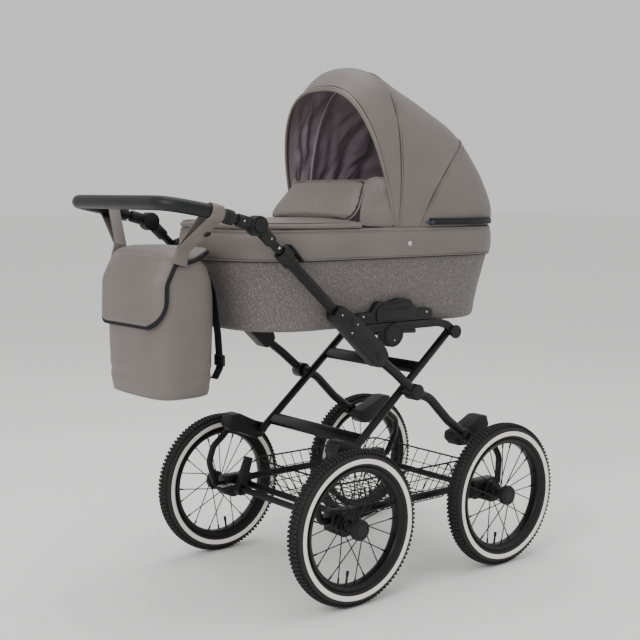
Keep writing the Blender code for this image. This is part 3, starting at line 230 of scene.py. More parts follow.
def with_nodes(piece, tree, values):
    """The piece with a Geometry Nodes tree applied to it. Values are the tree's inputs by name."""
    step = piece.modifiers.new(tree.name, "NODES")
    step.node_group = tree
    sockets = {item.name: item.identifier for item in tree.interface.items_tree if item.in_out == "INPUT"}
    for key, value in values.items():
        step[sockets[key]] = value
    bpy.context.view_layer.update()
    return applied(piece)


def new_tree(name, **inputs):
    """A Geometry Nodes tree with a geometry in and out and the named inputs, as floats or ints."""
    tree = bpy.data.node_groups.new(name, "GeometryNodeTree")
    tree.interface.new_socket("Geometry", in_out="INPUT", socket_type="NodeSocketGeometry")
    tree.interface.new_socket("Geometry", in_out="OUTPUT", socket_type="NodeSocketGeometry")
    for key, value in inputs.items():
        kind = "NodeSocketInt" if isinstance(value, int) else "NodeSocketFloat"
        made = tree.interface.new_socket(key, in_out="INPUT", socket_type=kind)
        made.default_value = value
    tree.interface.new_socket("Finish", in_out="INPUT", socket_type="NodeSocketMaterial")
    return tree, node(tree, "NodeGroupInput"), node(tree, "NodeGroupOutput")


def closing(tree, given, result, geometry):
    """Ends a tree in real geometry that carries the finish."""
    real = node(tree, "GeometryNodeRealizeInstances", {"Geometry": geometry})
    painted = node(
        tree,
        "GeometryNodeSetMaterial",
        {"Geometry": real.outputs["Geometry"], "Material": given.outputs["Finish"]},
    )
    tree.links.new(painted.outputs["Geometry"], result.inputs["Geometry"])


# Copies one item round the Y axis
round_axle, given, result = new_tree("round_the_axle", Count=12)
line = node(round_axle, "GeometryNodeMeshLine", {"Count": given.outputs["Count"], "Offset": (0, 0, 0)})
number = node(round_axle, "GeometryNodeInputIndex").outputs["Index"]
share = node(round_axle, "ShaderNodeMath", operation="DIVIDE")
round_axle.links.new(number, share.inputs[0])
round_axle.links.new(given.outputs["Count"], share.inputs[1])
angle = node(round_axle, "ShaderNodeMath", operation="MULTIPLY")
round_axle.links.new(share.outputs[0], angle.inputs[0])
angle.inputs[1].default_value = 2 * math.pi
turn = node(round_axle, "ShaderNodeCombineXYZ", {"Y": angle.outputs[0]})
copies = node(
    round_axle,
    "GeometryNodeInstanceOnPoints",
    {"Points": line.outputs["Mesh"], "Instance": given.outputs["Geometry"], "Rotation": turn.outputs[0]},
)
closing(round_axle, given, result, copies.outputs["Instances"])


def block(name, low, high, bevel, *materials):
    """A box with soft edges, as the single item of a pattern."""
    points = [(x, y, z) for x in (low[0], high[0]) for y in (low[1], high[1]) for z in (low[2], high[2])]
    faces = [(0, 1, 3, 2), (4, 6, 7, 5), (0, 4, 5, 1), (2, 3, 7, 6), (0, 2, 6, 4), (1, 5, 7, 3)]
    made = new_piece(name, points, faces, *materials)
    if bevel:
        edges = made.modifiers.new("edges", "BEVEL")
        edges.width = bevel
        edges.segments = 1
        applied(made)
    return made


def merged(name, pieces):
    """Several loose pieces as one object."""
    body = bmesh.new()
    materials = []
    for piece in pieces:
        own = piece.data.copy()
        index = []
        for finish in piece.data.materials:
            if finish not in materials:
                materials.append(finish)
            index.append(materials.index(finish))
        for face in own.polygons:
            face.material_index = index[face.material_index] if index else 0
        body.from_mesh(own)
        bpy.data.objects.remove(piece)
    made = new_piece(name, [], [], *materials)
    body.to_mesh(made.data)
    body.free()
    return made


carcass_profile = []
for i in range(36):
    angle = 2 * math.pi * i / 36
    reach = TYRE_HALF - (0.0030 if math.cos(angle) > 0.55 else 0.0010)
    flat = 0.90 if abs(math.sin(angle)) > 0.8 else 1.0
    carcass_profile.append((TYRE_RING + reach * math.cos(angle), reach * math.sin(angle) * (2 - flat) / 1.06))


def wall_colour(radius, y):
    on_wall = abs(y) > TYRE_HALF * 0.80
    return 1 if on_wall and TYRE_RING - 0.0085 < radius < TYRE_RING + 0.0045 else 0


carcass = turned("carcass", carcass_profile, 96, rubber, white_wall, closed=True, ring_of=wall_colour)
rows = [carcass]
for y, slant, length, width, count in (
    (-0.0120, 28, 0.0072, 0.0052, 104),
    (-0.0040, -28, 0.0068, 0.0050, 104),
    (0.0040, 28, 0.0068, 0.0050, 104),
    (0.0120, -28, 0.0072, 0.0052, 104),
):
    drop = 0.0022 * (abs(y) / 0.012) ** 2
    lug = block("lug", (-width / 2, -length / 2, -0.004), (width / 2, length / 2, BLOCK_HEIGHT), 0.0003,
                rubber)
    tilt = Matrix.Rotation(-y * 26, 4, "X") @ Matrix.Rotation(math.radians(slant), 4, "Z")
    lug.data.transform(Matrix.Translation((0, y, TYRE_RADIUS - BLOCK_HEIGHT - drop)) @ tilt)
    if y > 0:
        lug.data.transform(Matrix.Rotation(math.pi / 104, 4, "Y"))
    rows.append(with_nodes(lug, round_axle, {"Count": count, "Finish": rubber}))
tyre = merged("tyre", rows)


def placed_wheel(piece, wheel, suffix):
    """A copy of a wheel piece in a wheel's place, riding and standing for that wheel's node."""
    low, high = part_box(f"{wheel}_tyre")
    made = bpy.data.objects.new(f"{wheel}_{suffix}", piece.data.copy())
    spin = Matrix.Rotation(0 if low.y > 0 else math.pi, 4, "Z")
    made.data.transform(Matrix.Translation((low + high) / 2) @ spin)
    bpy.context.scene.collection.objects.link(made)
    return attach(made, f"{wheel}_wheel_body")


for wheel in WHEELS:
    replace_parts(placed_wheel(tyre, wheel, "tyre_rubber"), f"{wheel}_tyre")
bpy.data.objects.remove(tyre)

# Spoked wheels.
# A rolled steel rim laced to its hub with wire spokes from two flanges, all powder coated black,
# with a plastic cap over the axle's end and a rubber valve under a nylon cap through the rim.
RIM_RADIUS = (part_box("front_left_wheel")[1].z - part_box("front_left_wheel")[0].z) / 2
CAP_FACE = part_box("front_left_wheel")[1].y - (tyre_low.y + tyre_high.y) / 2
HUB_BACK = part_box("front_left_wheel")[0].y - (tyre_low.y + tyre_high.y) / 2
SPOKES_EACH_SIDE = 10
SPOKE_RADIUS = 0.0013
# Powder coat: black polyester baked on, with a faint orange peel
coat, tree, shader = new_material("black_powder_coat", "0b0b0c", 0.40, Specular_IOR_Level=0.30)
place = node(tree, "ShaderNodeTexCoord").outputs["Object"]
peel = node(tree, "ShaderNodeTexNoise", {"Vector": place, "Scale": 900.0, "Detail": 2.0})
wear = node(tree, "ShaderNodeTexNoise", {"Vector": place, "Scale": 22.0, "Detail": 5.0})
gloss = node(tree, "ShaderNodeMapRange", {"Value": wear.outputs["Fac"], "To Min": 0.32, "To Max": 0.46})
tree.links.new(gloss.outputs["Result"], shader.inputs["Roughness"])
bumped(tree, shader, peel.outputs["Fac"], 0.12, 0.0003)
# Moulded nylon: spark-eroded, so it takes the light a little rough and grey
nylon, tree, shader = new_material("moulded_black_nylon", "0e0e0f", 0.52, Specular_IOR_Level=0.32)
place = node(tree, "ShaderNodeTexCoord").outputs["Object"]
erosion = node(tree, "ShaderNodeTexNoise", {"Vector": place, "Scale": 1400.0, "Detail": 3.0})
patches = node(tree, "ShaderNodeTexNoise", {"Vector": place, "Scale": 30.0, "Detail": 3.0})
tint = node(tree, "ShaderNodeMix", {"Factor": patches.outputs["Fac"]}, data_type="RGBA")
tint.inputs[6].default_value = linear("0f0f10")
tint.inputs[7].default_value = linear("171718")
tree.links.new(tint.outputs[2], shader.inputs["Base Color"])
bumped(tree, shader, erosion.outputs["Fac"], 0.3, 0.0003)
# Bright zinc plate on small steel parts
zinc, tree, shader = new_material("bright_zinc_plate", "c9cacb", 0.24, 1.0)
place = node(tree, "ShaderNodeTexCoord").outputs["Object"]
brushing = node(tree, "ShaderNodeTexNoise", {"Vector": place, "Scale": 500.0, "Detail": 2.0})
bumped(tree, shader, brushing.outputs["Fac"], 0.1, 0.0002)

# Sweeps a round section along every line of a piece
sweep, given, result = new_tree("drawn_wire", Radius=0.002, Sides=8)
lines = node(sweep, "GeometryNodeMeshToCurve", {"Mesh": given.outputs["Geometry"]})
section = node(
    sweep,
    "GeometryNodeCurvePrimitiveCircle",
    {"Resolution": given.outputs["Sides"], "Radius": given.outputs["Radius"]},
)
drawn = node(
    sweep,
    "GeometryNodeCurveToMesh",
    {"Curve": lines.outputs["Curve"], "Profile Curve": section.outputs["Curve"], "Fill Caps": True},
)
closing(sweep, given, result, drawn.outputs["Mesh"])


def wire(name, routes, radius, finish, sides=8, loop=False):
    """Round wire or tube along one or more routes, each a list of points."""
    points, edges = [], []
    for route in routes:
        first = len(points)
        points += [tuple(p) for p in route]
        edges += [(first + i, first + i + 1) for i in range(len(route) - 1)]
        if loop:
            edges.append((len(points) - 1, first))
    mesh = bpy.data.meshes.new(name)
    mesh.from_pydata(points, edges, [])
    made = bpy.data.objects.new(name, mesh)
    bpy.context.scene.collection.objects.link(made)
    with_nodes(made, sweep, {"Radius": radius, "Sides": sides, "Finish": finish})
    return smoothed(made, 50)


rim_inner = RIM_RADIUS - 0.0118
rim_profile = [
    (RIM_RADIUS, 0.0165),
    (RIM_RADIUS + 0.0006, 0.0158),
    (RIM_RADIUS - 0.0004, 0.0148),
    (RIM_RADIUS - 0.0055, 0.0090),
    (RIM_RADIUS - 0.0060, 0),
    (RIM_RADIUS - 0.0055, -0.0090),
    (RIM_RADIUS - 0.0004, -0.0148),
    (RIM_RADIUS + 0.0006, -0.0158),
    (RIM_RADIUS, -0.0165),
    (RIM_RADIUS - 0.0018, -0.0168),
    (RIM_RADIUS - 0.0060, -0.0150),
    (rim_inner + 0.0016, -0.0118),
    (rim_inner, -0.0070),
    (rim_inner - 0.0007, 0),
    (rim_inner, 0.0070),
    (rim_inner + 0.0016, 0.0118),
    (RIM_RADIUS - 0.0060, 0.0150),
    (RIM_RADIUS - 0.0018, 0.0168),
]
rim = turned("rim", rim_profile, 96, coat, closed=True)
hub = turned(
    "hub",
    [
        (0.0068, 0.010), (0.0120, 0.012), (0.0208, 0.0130), (0.0225, 0.0140), (0.0225, 0.0172),
        (0.0208, 0.0182),
        (0.0140, 0.0165), (0.0128, 0.0120), (0.0122, 0), (0.0128, -0.0120), (0.0150, -0.0145),
        (0.0210, -0.0152), (0.0222, -0.0162), (0.0222, -0.0188), (0.0205, -0.0198), (0.0160, -0.0205),
        (0.0155, -0.0230), (0.0250, -0.0245), (0.0265, -0.0262), (0.0265, HUB_BACK + 0.0012),
        (0.0253, HUB_BACK), (0.0070, HUB_BACK),
    ],
    48,
    coat,
)
cap = turned(
    "cap",
    [
        (0.0001, CAP_FACE), (0.0080, CAP_FACE), (0.0150, CAP_FACE - 0.0002), (0.0156, CAP_FACE - 0.0014),
        (0.0166, CAP_FACE - 0.0014), (0.0172, CAP_FACE - 0.0004), (0.0205, CAP_FACE - 0.0008),
        (0.0228, CAP_FACE - 0.0026), (0.0235, CAP_FACE - 0.0060), (0.0236, 0.0175), (0.0205, 0.0165),
    ],
    48,
    nylon,
)
wheel_pieces = [rim, hub, cap]
for flange, lean in ((0.0158, 42), (-0.0175, -42)):
    start_angle = math.radians(lean)
    start = (0.0195 * math.sin(start_angle), flange, 0.0195 * math.cos(start_angle))
    reach = rim_inner + 0.002
    end = (0, math.copysign(0.0045, flange), reach)
    spoke = wire("spoke", [[start, end]], SPOKE_RADIUS, coat, 8)
    nipple_foot = Vector(end).lerp(Vector(start), 0.115)
    nipple = wire("nipple", [[end, nipple_foot]], 0.0021, zinc, 8)
    if flange < 0:
        for item in (spoke, nipple):
            item.data.transform(Matrix.Rotation(math.pi / SPOKES_EACH_SIDE, 4, "Y"))
    wheel_pieces.append(with_nodes(spoke, round_axle, {"Count": SPOKES_EACH_SIDE, "Finish": coat}))
    wheel_pieces.append(with_nodes(nipple, round_axle, {"Count": SPOKES_EACH_SIDE, "Finish": coat}))
valve_angle = math.radians(9)
valve_points = [
    (math.sin(valve_angle) * r, 0, -math.cos(valve_angle) * r) for r in (rim_inner + 0.002, rim_inner - 0.020)
]
wheel_pieces.append(wire("valve", [valve_points], 0.0026, rubber, 12))
cap_points = [
    (math.sin(valve_angle) * r, 0, -math.cos(valve_angle) * r) for r in (rim_inner - 0.019, rim_inner - 0.029)
]
wheel_pieces.append(wire("valve_cap", [cap_points], 0.0034, nylon, 12))
wheel_piece = merged("wheel", wheel_pieces)
for wheel in WHEELS:
    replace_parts(placed_wheel(wheel_piece, wheel, "rim_and_spokes"), f"{wheel}_wheel")
bpy.data.objects.remove(wheel_piece)

# Chassis.
# Black steel tube and strap: axles with their end blocks, side rails, C-springs, the two pairs of
# legs and the seat rails, all welded or pinned and powder coated together.
BODY_OF = {name: body for body, names in frame["record"]["behaviour"]["bodies"].items() for name in names}


def dressed(name, finish, edge=0.0006, angle=42):
    """A smooth-shaded copy of a frame node with its sharp edges eased, standing for that node."""
    body = bmesh.new()
    body.from_mesh(frame["nodes"][name].data)
    bmesh.ops.remove_doubles(body, verts=body.verts, dist=5e-6)
    bmesh.ops.dissolve_limit(body, angle_limit=math.radians(0.6), verts=body.verts, edges=body.edges)
    made = new_piece(f"{name}_finished", [], [])
    body.to_mesh(made.data)
    body.free()
    made.data.materials.append(finish)
    for face in made.data.polygons:
        face.material_index = 0
    if edge:
        ease = made.modifiers.new("eased_edges", "BEVEL")
        ease.width = edge
        ease.segments = 2
        ease.limit_method = "ANGLE"
        ease.angle_limit = math.radians(angle)
        ease.use_clamp_overlap = True
        applied(made)
    made.data.shade_smooth()
    made.data.set_sharp_from_angle(angle=math.radians(angle))
    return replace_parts(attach(made, BODY_OF[name]), name)


for name in ("back_axle", "front_axle", "lower_cross_tube", "upper_cross_tube"):
    dressed(name, coat)
for side in ("left", "right"):
    for name in ("side_rail", "back_leg", "front_leg", "seat_rail", "lower_arm", "upper_arm"):
        dressed(f"{side}_{name}", coat)
    for end in ("back", "front"):
        dressed(f"{end}_{side}_spring", coat, edge=0)
        dressed(f"{end}_{side}_shoe", nylon, edge=0.0012)
    for name in ("receiver", "fold_housing", "collar", "adaptor"):
        dressed(f"{side}_{name}", nylon, edge=0.0016)

# Pivot caps, drums and screws.
# Each pivot is a shouldered rivet under a pressed nylon cap with a ring moulded in it; the drums on
# the axle blocks are ribbed; small cross-head screws hold the plastic parts on.


def across(piece, x, y, z, side, body, name):
    """Puts a piece turned about Y in place, its outer end facing out from the pram."""
    flip = Matrix.Rotation(0 if side > 0 else math.pi, 4, "Z")
    piece.data.transform(Matrix.Translation((x, y, z)) @ flip)
    piece.name = name
    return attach(piece, body)


def pivot_cap(radius, height):
    return turned(
        "cap",
        [
            (0.0001, height), (radius * 0.42, height), (radius * 0.46, height - 0.0006),
            (radius * 0.54, height - 0.0006), (radius * 0.58, height), (radius * 0.86, height - 0.0002),
            (radius * 0.96, height - 0.0009), (radius, height - 0.0022), (radius, 0), (0.0001, 0),
        ],
        32,
        nylon,
    )


def screw_head(radius=0.0028):
    """A pan-head screw with a cross recess."""
    head = turned(
        "screw",
        [(0.0001, 0.0013), (radius * 0.6, 0.0011), (radius * 0.95, 0.0004), (radius, 0), (0.0001, -0.0004)],
        20,
        zinc,
    )
    bars = [
        block("bar", (-radius * 0.6, 0.0004, -0.0003), (radius * 0.6, 0.0015, 0.0003), 0, nylon),
        block("bar", (-0.0003, 0.0004, -radius * 0.6), (0.0003, 0.0015, radius * 0.6), 0, nylon),
    ]
    return merged("screw", [head, *bars])


def at_joint(name):
    return Vector(next(joint["pos_m"] for joint in frame["joints"] if joint["name"] == name))


CROSS = at_joint("leg_cross")
RAIL_FRONT = at_joint("rail_pivot")
ARM_FOOT = at_joint("arm_fold")
KNOB = at_joint("handle_angle")
FRONT_AXLE = at_joint("front_left_wheel_spin")
BACK_AXLE = at_joint("back_left_wheel_spin")
leg_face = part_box("left_front_leg")[1].y
front_foot_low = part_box("left_front_leg")[0]
FRONT_FOOT = Vector((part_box("left_front_leg")[1].x - 0.0145, 0, front_foot_low.z + 0.0145))
housing_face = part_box("left_fold_housing")[1].y
for side_name, side in (("left", 1), ("right", -1)):
    across(pivot_cap(0.0175, 0.0032), CROSS.x, side * (leg_face - 0.0004), CROSS.z, side, "front_legs",
           f"{side_name}_cross_pivot_cap")
    across(pivot_cap(0.0125, 0.0030), FRONT_FOOT.x, side * (leg_face - 0.0015), FRONT_FOOT.z, side,
           "front_legs", f"{side_name}_front_foot_cap")
    rail_face = 0.1935
    across(pivot_cap(0.0162, 0.0062), RAIL_FRONT.x, side * rail_face, RAIL_FRONT.z, side, "back_legs",
           f"{side_name}_rail_pivot_cap")
    across(pivot_cap(0.0090, 0.0022), ARM_FOOT.x, side * (housing_face - 0.0012), ARM_FOOT.z, side,
           "lower_arms", f"{side_name}_fold_pivot_cap")
    for end, axle in (("front", FRONT_AXLE), ("back", BACK_AXLE)):
        ribs = []
        rib = block("rib", (-0.0011, -0.0155, 0.0238), (0.0011, 0.0155, 0.0258), 0.0004, nylon)
        ribs.append(with_nodes(rib, round_axle, {"Count": 22, "Finish": nylon}))
        ribs.append(turned("washer", [(0.0070, 0.0185), (0.0200, 0.0185), (0.0228, 0.0172), (0.0228, 0.0150)],
                           32, nylon))
        drum = merged("drum", ribs)
        across(drum, axle.x, side * 0.2075, axle.z, side, "chassis", f"{end}_{side_name}_hub_drum")

# Adaptors and receivers.
# The adaptor bolted to each side of the tub is a nylon block with rounded feet and a raised middle
# with one long groove; it drops into the receiver, whose round hub hides the catch. No badge.
adaptor_low, adaptor_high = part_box("left_adaptor")
receiver_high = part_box("left_receiver")[1]
for side_name, side in (("left", 1), ("right", -1)):
    face = side * adaptor_high.y
    middle_x = (adaptor_low.x + adaptor_high.x) / 2
    raised = []
    top = adaptor_low.z + 0.047
    outline = [
        (-0.062, 0.004), (0.060, 0.004), (0.060, 0.030), (0.046, top - adaptor_low.z - 0.002),
        (0.020, top - adaptor_low.z + 0.001), (-0.012, top - adaptor_low.z - 0.006),
        (-0.040, top - adaptor_low.z - 0.004), (-0.062, 0.030),
    ]
    points = [(middle_x + x, side * (adaptor_high.y - 0.002), adaptor_low.z + z) for x, z in outline]
    points += [(middle_x + x * 0.985, side * (adaptor_high.y + 0.0045), adaptor_low.z + 0.0015 + z * 0.97)
               for x, z in outline]
    count = len(outline)
    faces = [tuple(range(count)), tuple(range(2 * count - 1, count - 1, -1))]
    faces += [(i, i + count, (i + 1) % count + count, (i + 1) % count) for i in range(count)]
    boss = new_piece("boss", points, faces, nylon)
    ease = boss.modifiers.new("ease", "BEVEL")
    ease.width = 0.0022
    ease.segments = 3
    smoothed(applied(boss), 35)
    raised.append(boss)
    for low_z, high_z in ((0.0285, 0.0300), (0.0335, 0.0350)):
        lip = block("lip", (middle_x - 0.046, adaptor_high.y + 0.0035, adaptor_low.z + low_z),
                    (middle_x + 0.042, adaptor_high.y + 0.0058, adaptor_low.z + high_z), 0.0005, nylon)
        if side < 0:
            lip.data.transform(Matrix.Diagonal((1, -1, 1, 1)))
            lip.data.flip_normals()
        raised.append(lip)
    boss = merged("adaptor_boss", raised)
    boss.name = f"{side_name}_adaptor_boss"
    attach(boss, "carrycot")
    for index, x in enumerate((adaptor_low.x + 0.020, adaptor_high.x - 0.020)):
        across(screw_head(), x, face, adaptor_low.z + 0.017, side, "carrycot",
               f"{side_name}_adaptor_screw_{index}")
    hub_x = middle_x - 0.008
    hub_z = receiver_high.z - 0.010
    across(
        turned(
            "hub",
            [(0.0001, 0.0030), (0.0200, 0.0030), (0.0212, 0.0018), (0.0232, 0.0018), (0.0246, 0.0034),
             (0.0262, 0.0030), (0.0272, 0.0010), (0.0272, -0.002), (0.0001, -0.002)],
            40,
            nylon,
        ),
        hub_x, side * receiver_high.y, hub_z, side, "seat_rails", f"{side_name}_receiver_hub",
    )
    across(screw_head(0.0022), hub_x + 0.002, side * (receiver_high.y + 0.0030), hub_z - 0.012, side,
           "seat_rails", f"{side_name}_receiver_screw")

# Fold housings and clamps.
# Each housing is a nylon clevis in two halves screwed together; the collar above clamps the sliding
# arm with a cam lever, and a nylon cap shows where the lever turns.
arm_way = Vector((-0.743145, 0, 0.669131))
arm_off = Vector((0.669131, 0, 0.743145))
for side_name, side in (("left", 1), ("right", -1)):
    for index, (along, off) in enumerate(((0.098, 0.012), (0.098, -0.012), (0.146, 0.0))):
        spot = ARM_FOOT + arm_way * along + arm_off * off
        across(screw_head(0.0024), spot.x, side * 0.2295, spot.z, side, "lower_arms",
               f"{side_name}_housing_screw_{index}")
    dressed(f"{side_name}_clamp_lever", nylon, edge=0.0010)
    rivet_at = ARM_FOOT + arm_way * 0.331 + arm_off * 0.0
    across(pivot_cap(0.0062, 0.0022), rivet_at.x, side * (0.212 + 0.0155), rivet_at.z, side, "lower_arms",
           f"{side_name}_collar_cap")
    pip_at = ARM_FOOT + arm_way * 0.368
    across(turned("pip", [(0.0001, 0.0018), (0.0018, 0.0014), (0.0026, 0), (0.0001, -0.001)], 20, zinc),
           pip_at.x, side * (0.212 + 0.0092), pip_at.z, side, "upper_arms", f"{side_name}_stop_pip")

# Handle joints.
# Two toothed discs on each side lock the handle's tilt. The button in the middle frees them: a
# round nylon cap with a ring and a small arrow pressed into it.
for side_name, side in (("left", 1), ("right", -1)):
    button_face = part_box(f"{side_name}_handle_button")[1 if side > 0 else 0].y
    reach = abs(button_face) - 0.212
    button = turned(
        "button",
        [
            (0.0001, reach), (0.0088, reach), (0.0093, reach - 0.0005), (0.0100, reach - 0.0005),
            (0.0105, reach), (0.0128, reach - 0.0003), (0.0140, reach - 0.0013), (0.0144, reach - 0.0030),
            (0.0144, 0.0084), (0.0001, 0.0084),
        ],
        40,
        nylon,
    )
    head = new_piece("arrow", [(-0.0024, 0, -0.0012), (0.0024, 0, -0.0012), (0, 0, 0.0026)], [(0, 1, 2)],
                     nylon)
    thick = head.modifiers.new("thick", "SOLIDIFY")
    thick.thickness = 0.0008
    applied(head)
    head.data.transform(Matrix.Translation((0.0, reach + 0.0002, 0.003)))
    button = merged("button", [button, head])
    made = across(button, KNOB.x, side * 0.212, KNOB.z, side, f"{side_name}_button",
                  f"{side_name}_handle_button_cap")
    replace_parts(made, f"{side_name}_handle_button")
    ring = turned(
        "ring",
        [
            (0.0154, 0.0125), (0.0156, 0.0140), (0.0166, 0.0146), (0.0190, 0.0143), (0.0206, 0.0130),
            (0.0210, 0.0108), (0.0210, 0.0022), (0.0200, 0.0011),
        ],
        44,
        nylon,
    )
    across(ring, KNOB.x, side * 0.212, KNOB.z, side, "handle", f"{side_name}_handle_joint_shell")
    inner = turned(
        "ring",
        [
            (0.0001, -0.0128), (0.0170, -0.0128), (0.0200, -0.0118), (0.0210, -0.0100), (0.0210, -0.0022),
            (0.0200, -0.0011),
        ],
        44,
        nylon,
    )
    across(inner, KNOB.x, side * 0.212, KNOB.z, side, "upper_arms", f"{side_name}_handle_joint_back")
    for index, (way, body) in enumerate(((arm_way * -1, "upper_arms"),
                                         (Vector((-0.9659, 0, 0.2588)), "handle"))):
        low, high = 0.0205, 0.052
        sleeve = turned("sleeve",
                        [(0.0098, low), (0.0128, low), (0.0135, low + 0.001), (0.0135, high - 0.004),
                                   (0.0125, high - 0.001), (0.0105, high)], 28, nylon)
        aim = way.to_track_quat("Y", "Z").to_matrix().to_4x4()
        sleeve.data.transform(Matrix.Translation((KNOB.x, side * 0.212, KNOB.z)) @ aim)
        sleeve.name = f"{side_name}_joint_sleeve_{index}"
        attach(sleeve, body)
        spot = KNOB + way * 0.040
        across(screw_head(0.0022), spot.x, side * (0.212 + 0.0132), spot.z, side, body,
               f"{side_name}_sleeve_screw_{index}")

# Handlebar and grip.
# One aluminium tube bent to a wide loop, in a sleeve of black leatherette that is sewn with a
# close seam along its underside and folded in at the ends.
# Smooth leatherette: a fine pore pattern under a soft waxy sheen
black_hide, tree, shader = new_material("black_leatherette", "0f0f10", 0.44, Specular_IOR_Level=0.36)
place = node(tree, "ShaderNodeTexCoord").outputs["Object"]
pores = node(tree, "ShaderNodeTexVoronoi", {"Vector": place, "Scale": 1 / 0.0012})
cloud = node(tree, "ShaderNodeTexNoise", {"Vector": place, "Scale": 26.0, "Detail": 3.0})
gloss = node(tree, "ShaderNodeMapRange", {"Value": cloud.outputs["Fac"], "To Min": 0.38, "To Max": 0.52})
tree.links.new(gloss.outputs["Result"], shader.inputs["Roughness"])
bumped(tree, shader, pores.outputs["Distance"], 0.25, 0.0003)
dressed("handlebar", coat)
grip_low, grip_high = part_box("handle_grip")
GRIP_RADIUS = 0.0145
bend_x = KNOB.x - 0.1159
bend_z = KNOB.z + 0.0311
cross_x = grip_low.x + GRIP_RADIUS
cross_z = grip_high.z - GRIP_RADIUS


def filleted(points, radius, steps=14):
    """A route with a round curve in place of each inner corner."""
    points = [Vector(p) for p in points]
    route = [points[0]]
    for before, corner, after in zip(points, points[1:], points[2:]):
        a, b = (before - corner).normalized(), (after - corner).normalized()
        reach = min(radius / math.tan(a.angle(b) / 2), (before - corner).length / 2,
                    (after - corner).length / 2)
        for i in range(steps + 1):
            t = i / steps
            route.append(
                (corner + a * reach) * (1 - t) ** 2 + corner * 2 * t * (1 - t) + (corner + b * reach) * t**2
            )
    return route + [points[-1]]


half_route = [
    Vector((KNOB.x - 0.062, 0.212, KNOB.z + 0.0166)),
    Vector((bend_x, 0.212, bend_z)),
    Vector((cross_x, 0.194, cross_z)),
]
grip_route = filleted(half_route + [Vector((p.x, -p.y, p.z)) for p in reversed(half_route)], 0.075)
sleeve = wire("grip", [grip_route], GRIP_RADIUS, black_hide, 28)
seam_route = [p + Vector((0.004, 0, -GRIP_RADIUS - 0.0002)) for p in grip_route]
seam = wire("seam", [seam_route], 0.0009, black_hide, 8)
ends = [wire("end", [[grip_route[i], grip_route[i].lerp(grip_route[i + s], 0.3)]], GRIP_RADIUS + 0.0009,
             black_hide, 28)
        for i, s in ((0, 1), (-1, -1))]
grip = merged("grip_leatherette", [sleeve, seam, *ends])
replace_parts(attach(grip, "handle"), "handle_grip")

# Basket.
# Spot-welded wire: a heavier rim, hoops across and rods along, dipped in the same black coat and
# hung from the side rails by four hooks.
basket_low, basket_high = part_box("basket")
taper = 0.052
hoops, rods = 15, 9
routes = []
for i in range(hoops):
    share = i / (hoops - 1)
    top_x = basket_low.x + 0.001 + (basket_high.x - basket_low.x - 0.002) * share
    low_x = basket_low.x + taper + (basket_high.x - basket_low.x - 2 * taper) * share
    half_top, half_low = basket_high.y - 0.001, basket_high.y - taper / 2
    corner = [(top_x, -half_top, basket_high.z - 0.002), (low_x, -half_low, basket_low.z + 0.002),
              (low_x, half_low, basket_low.z + 0.002), (top_x, half_top, basket_high.z - 0.002)]
    routes.append(filleted(corner, 0.012, 4))
for j in range(rods):
    share = 2 * j / (rods - 1) - 1
    y_top, y_low = (basket_high.y - 0.001) * share, (basket_high.y - taper / 2) * share
    corner = [(basket_low.x + 0.001, y_top, basket_high.z - 0.002),
              (basket_low.x + taper, y_low, basket_low.z + 0.0042),
              (basket_high.x - taper, y_low, basket_low.z + 0.0042),
              (basket_high.x - 0.001, y_top, basket_high.z - 0.002)]
    routes.append(filleted(corner, 0.012, 4))
for level, inset in ((0.33, 0.67), (0.66, 0.34)):
    z = basket_low.z + (basket_high.z - basket_low.z) * level
    x0, x1 = basket_low.x + taper * inset, basket_high.x - taper * inset
    y = basket_high.y - taper / 2 * inset
    routes.append([(x0, -y, z), (x1, -y, z), (x1, y, z), (x0, y, z), (x0, -y, z)])
mesh_wires = wire("mesh", routes, 0.0012, coat, 6)
rim_z = basket_high.z - 0.002
rim_corners = [(basket_low.x + 0.002, 0, rim_z), (basket_low.x + 0.002, -basket_high.y + 0.002, rim_z),
               (basket_high.x - 0.002, -basket_high.y + 0.002, rim_z),
               (basket_high.x - 0.002, basket_high.y - 0.002, rim_z),
               (basket_low.x + 0.002, basket_high.y - 0.002, rim_z), (basket_low.x + 0.002, 0, rim_z)]
rim_wire = wire("rim", [filleted(rim_corners, 0.02, 6)], 0.0022, coat, 10)
rail_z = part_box("left_side_rail")[1].z
hooks = []
for x in (basket_low.x + 0.07, basket_high.x - 0.07):
    for side in (1, -1):
        hooks.append(filleted([
            (x, side * (basket_high.y - 0.001), rim_z),
            (x, side * (basket_high.y + 0.016), rim_z + 0.001),
            (x, side * 0.2015, rail_z + 0.0022),
            (x, side * 0.2125, rail_z - 0.004),
        ], 0.008, 4))
hook_wires = wire("hooks", hooks, 0.0018, coat, 8)
basket = merged("basket_wires", [mesh_wires, rim_wire, hook_wires])
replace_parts(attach(basket, "chassis"), "basket")

# Foot brake.
# A nylon rocker on the back axle with a bright ribbed tread to press and a finger to lift.
dressed("brake_pedal", nylon, edge=0.0016)
tread_low, tread_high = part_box("brake_tread")
plate = block("plate", tread_low, tread_high, 0.0007, zinc)
ridges = [plate]
for i in range(7):
    x = tread_low.x + (tread_high.x - tread_low.x) * (i + 0.5) / 7
    ridges.append(block("ridge", (x - 0.0012, tread_low.y + 0.002, tread_high.z - 0.0002),
                        (x + 0.0012, tread_high.y - 0.002, tread_high.z + 0.0010), 0.0004, zinc))
tread = merged("brake_tread_plate", ridges)
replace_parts(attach(tread, "brake"), "brake_tread")

# Carrycot tub.
# A stiff shell in a tight cover of woven melange, a little full at the sides, with satin inside.
band_low, band_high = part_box("rim_band")
tub_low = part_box("carrycot_tub")[0]
cot_x = (band_low.x + band_high.x) / 2
half_length, half_width = (band_high.x - band_low.x) / 2, band_high.y


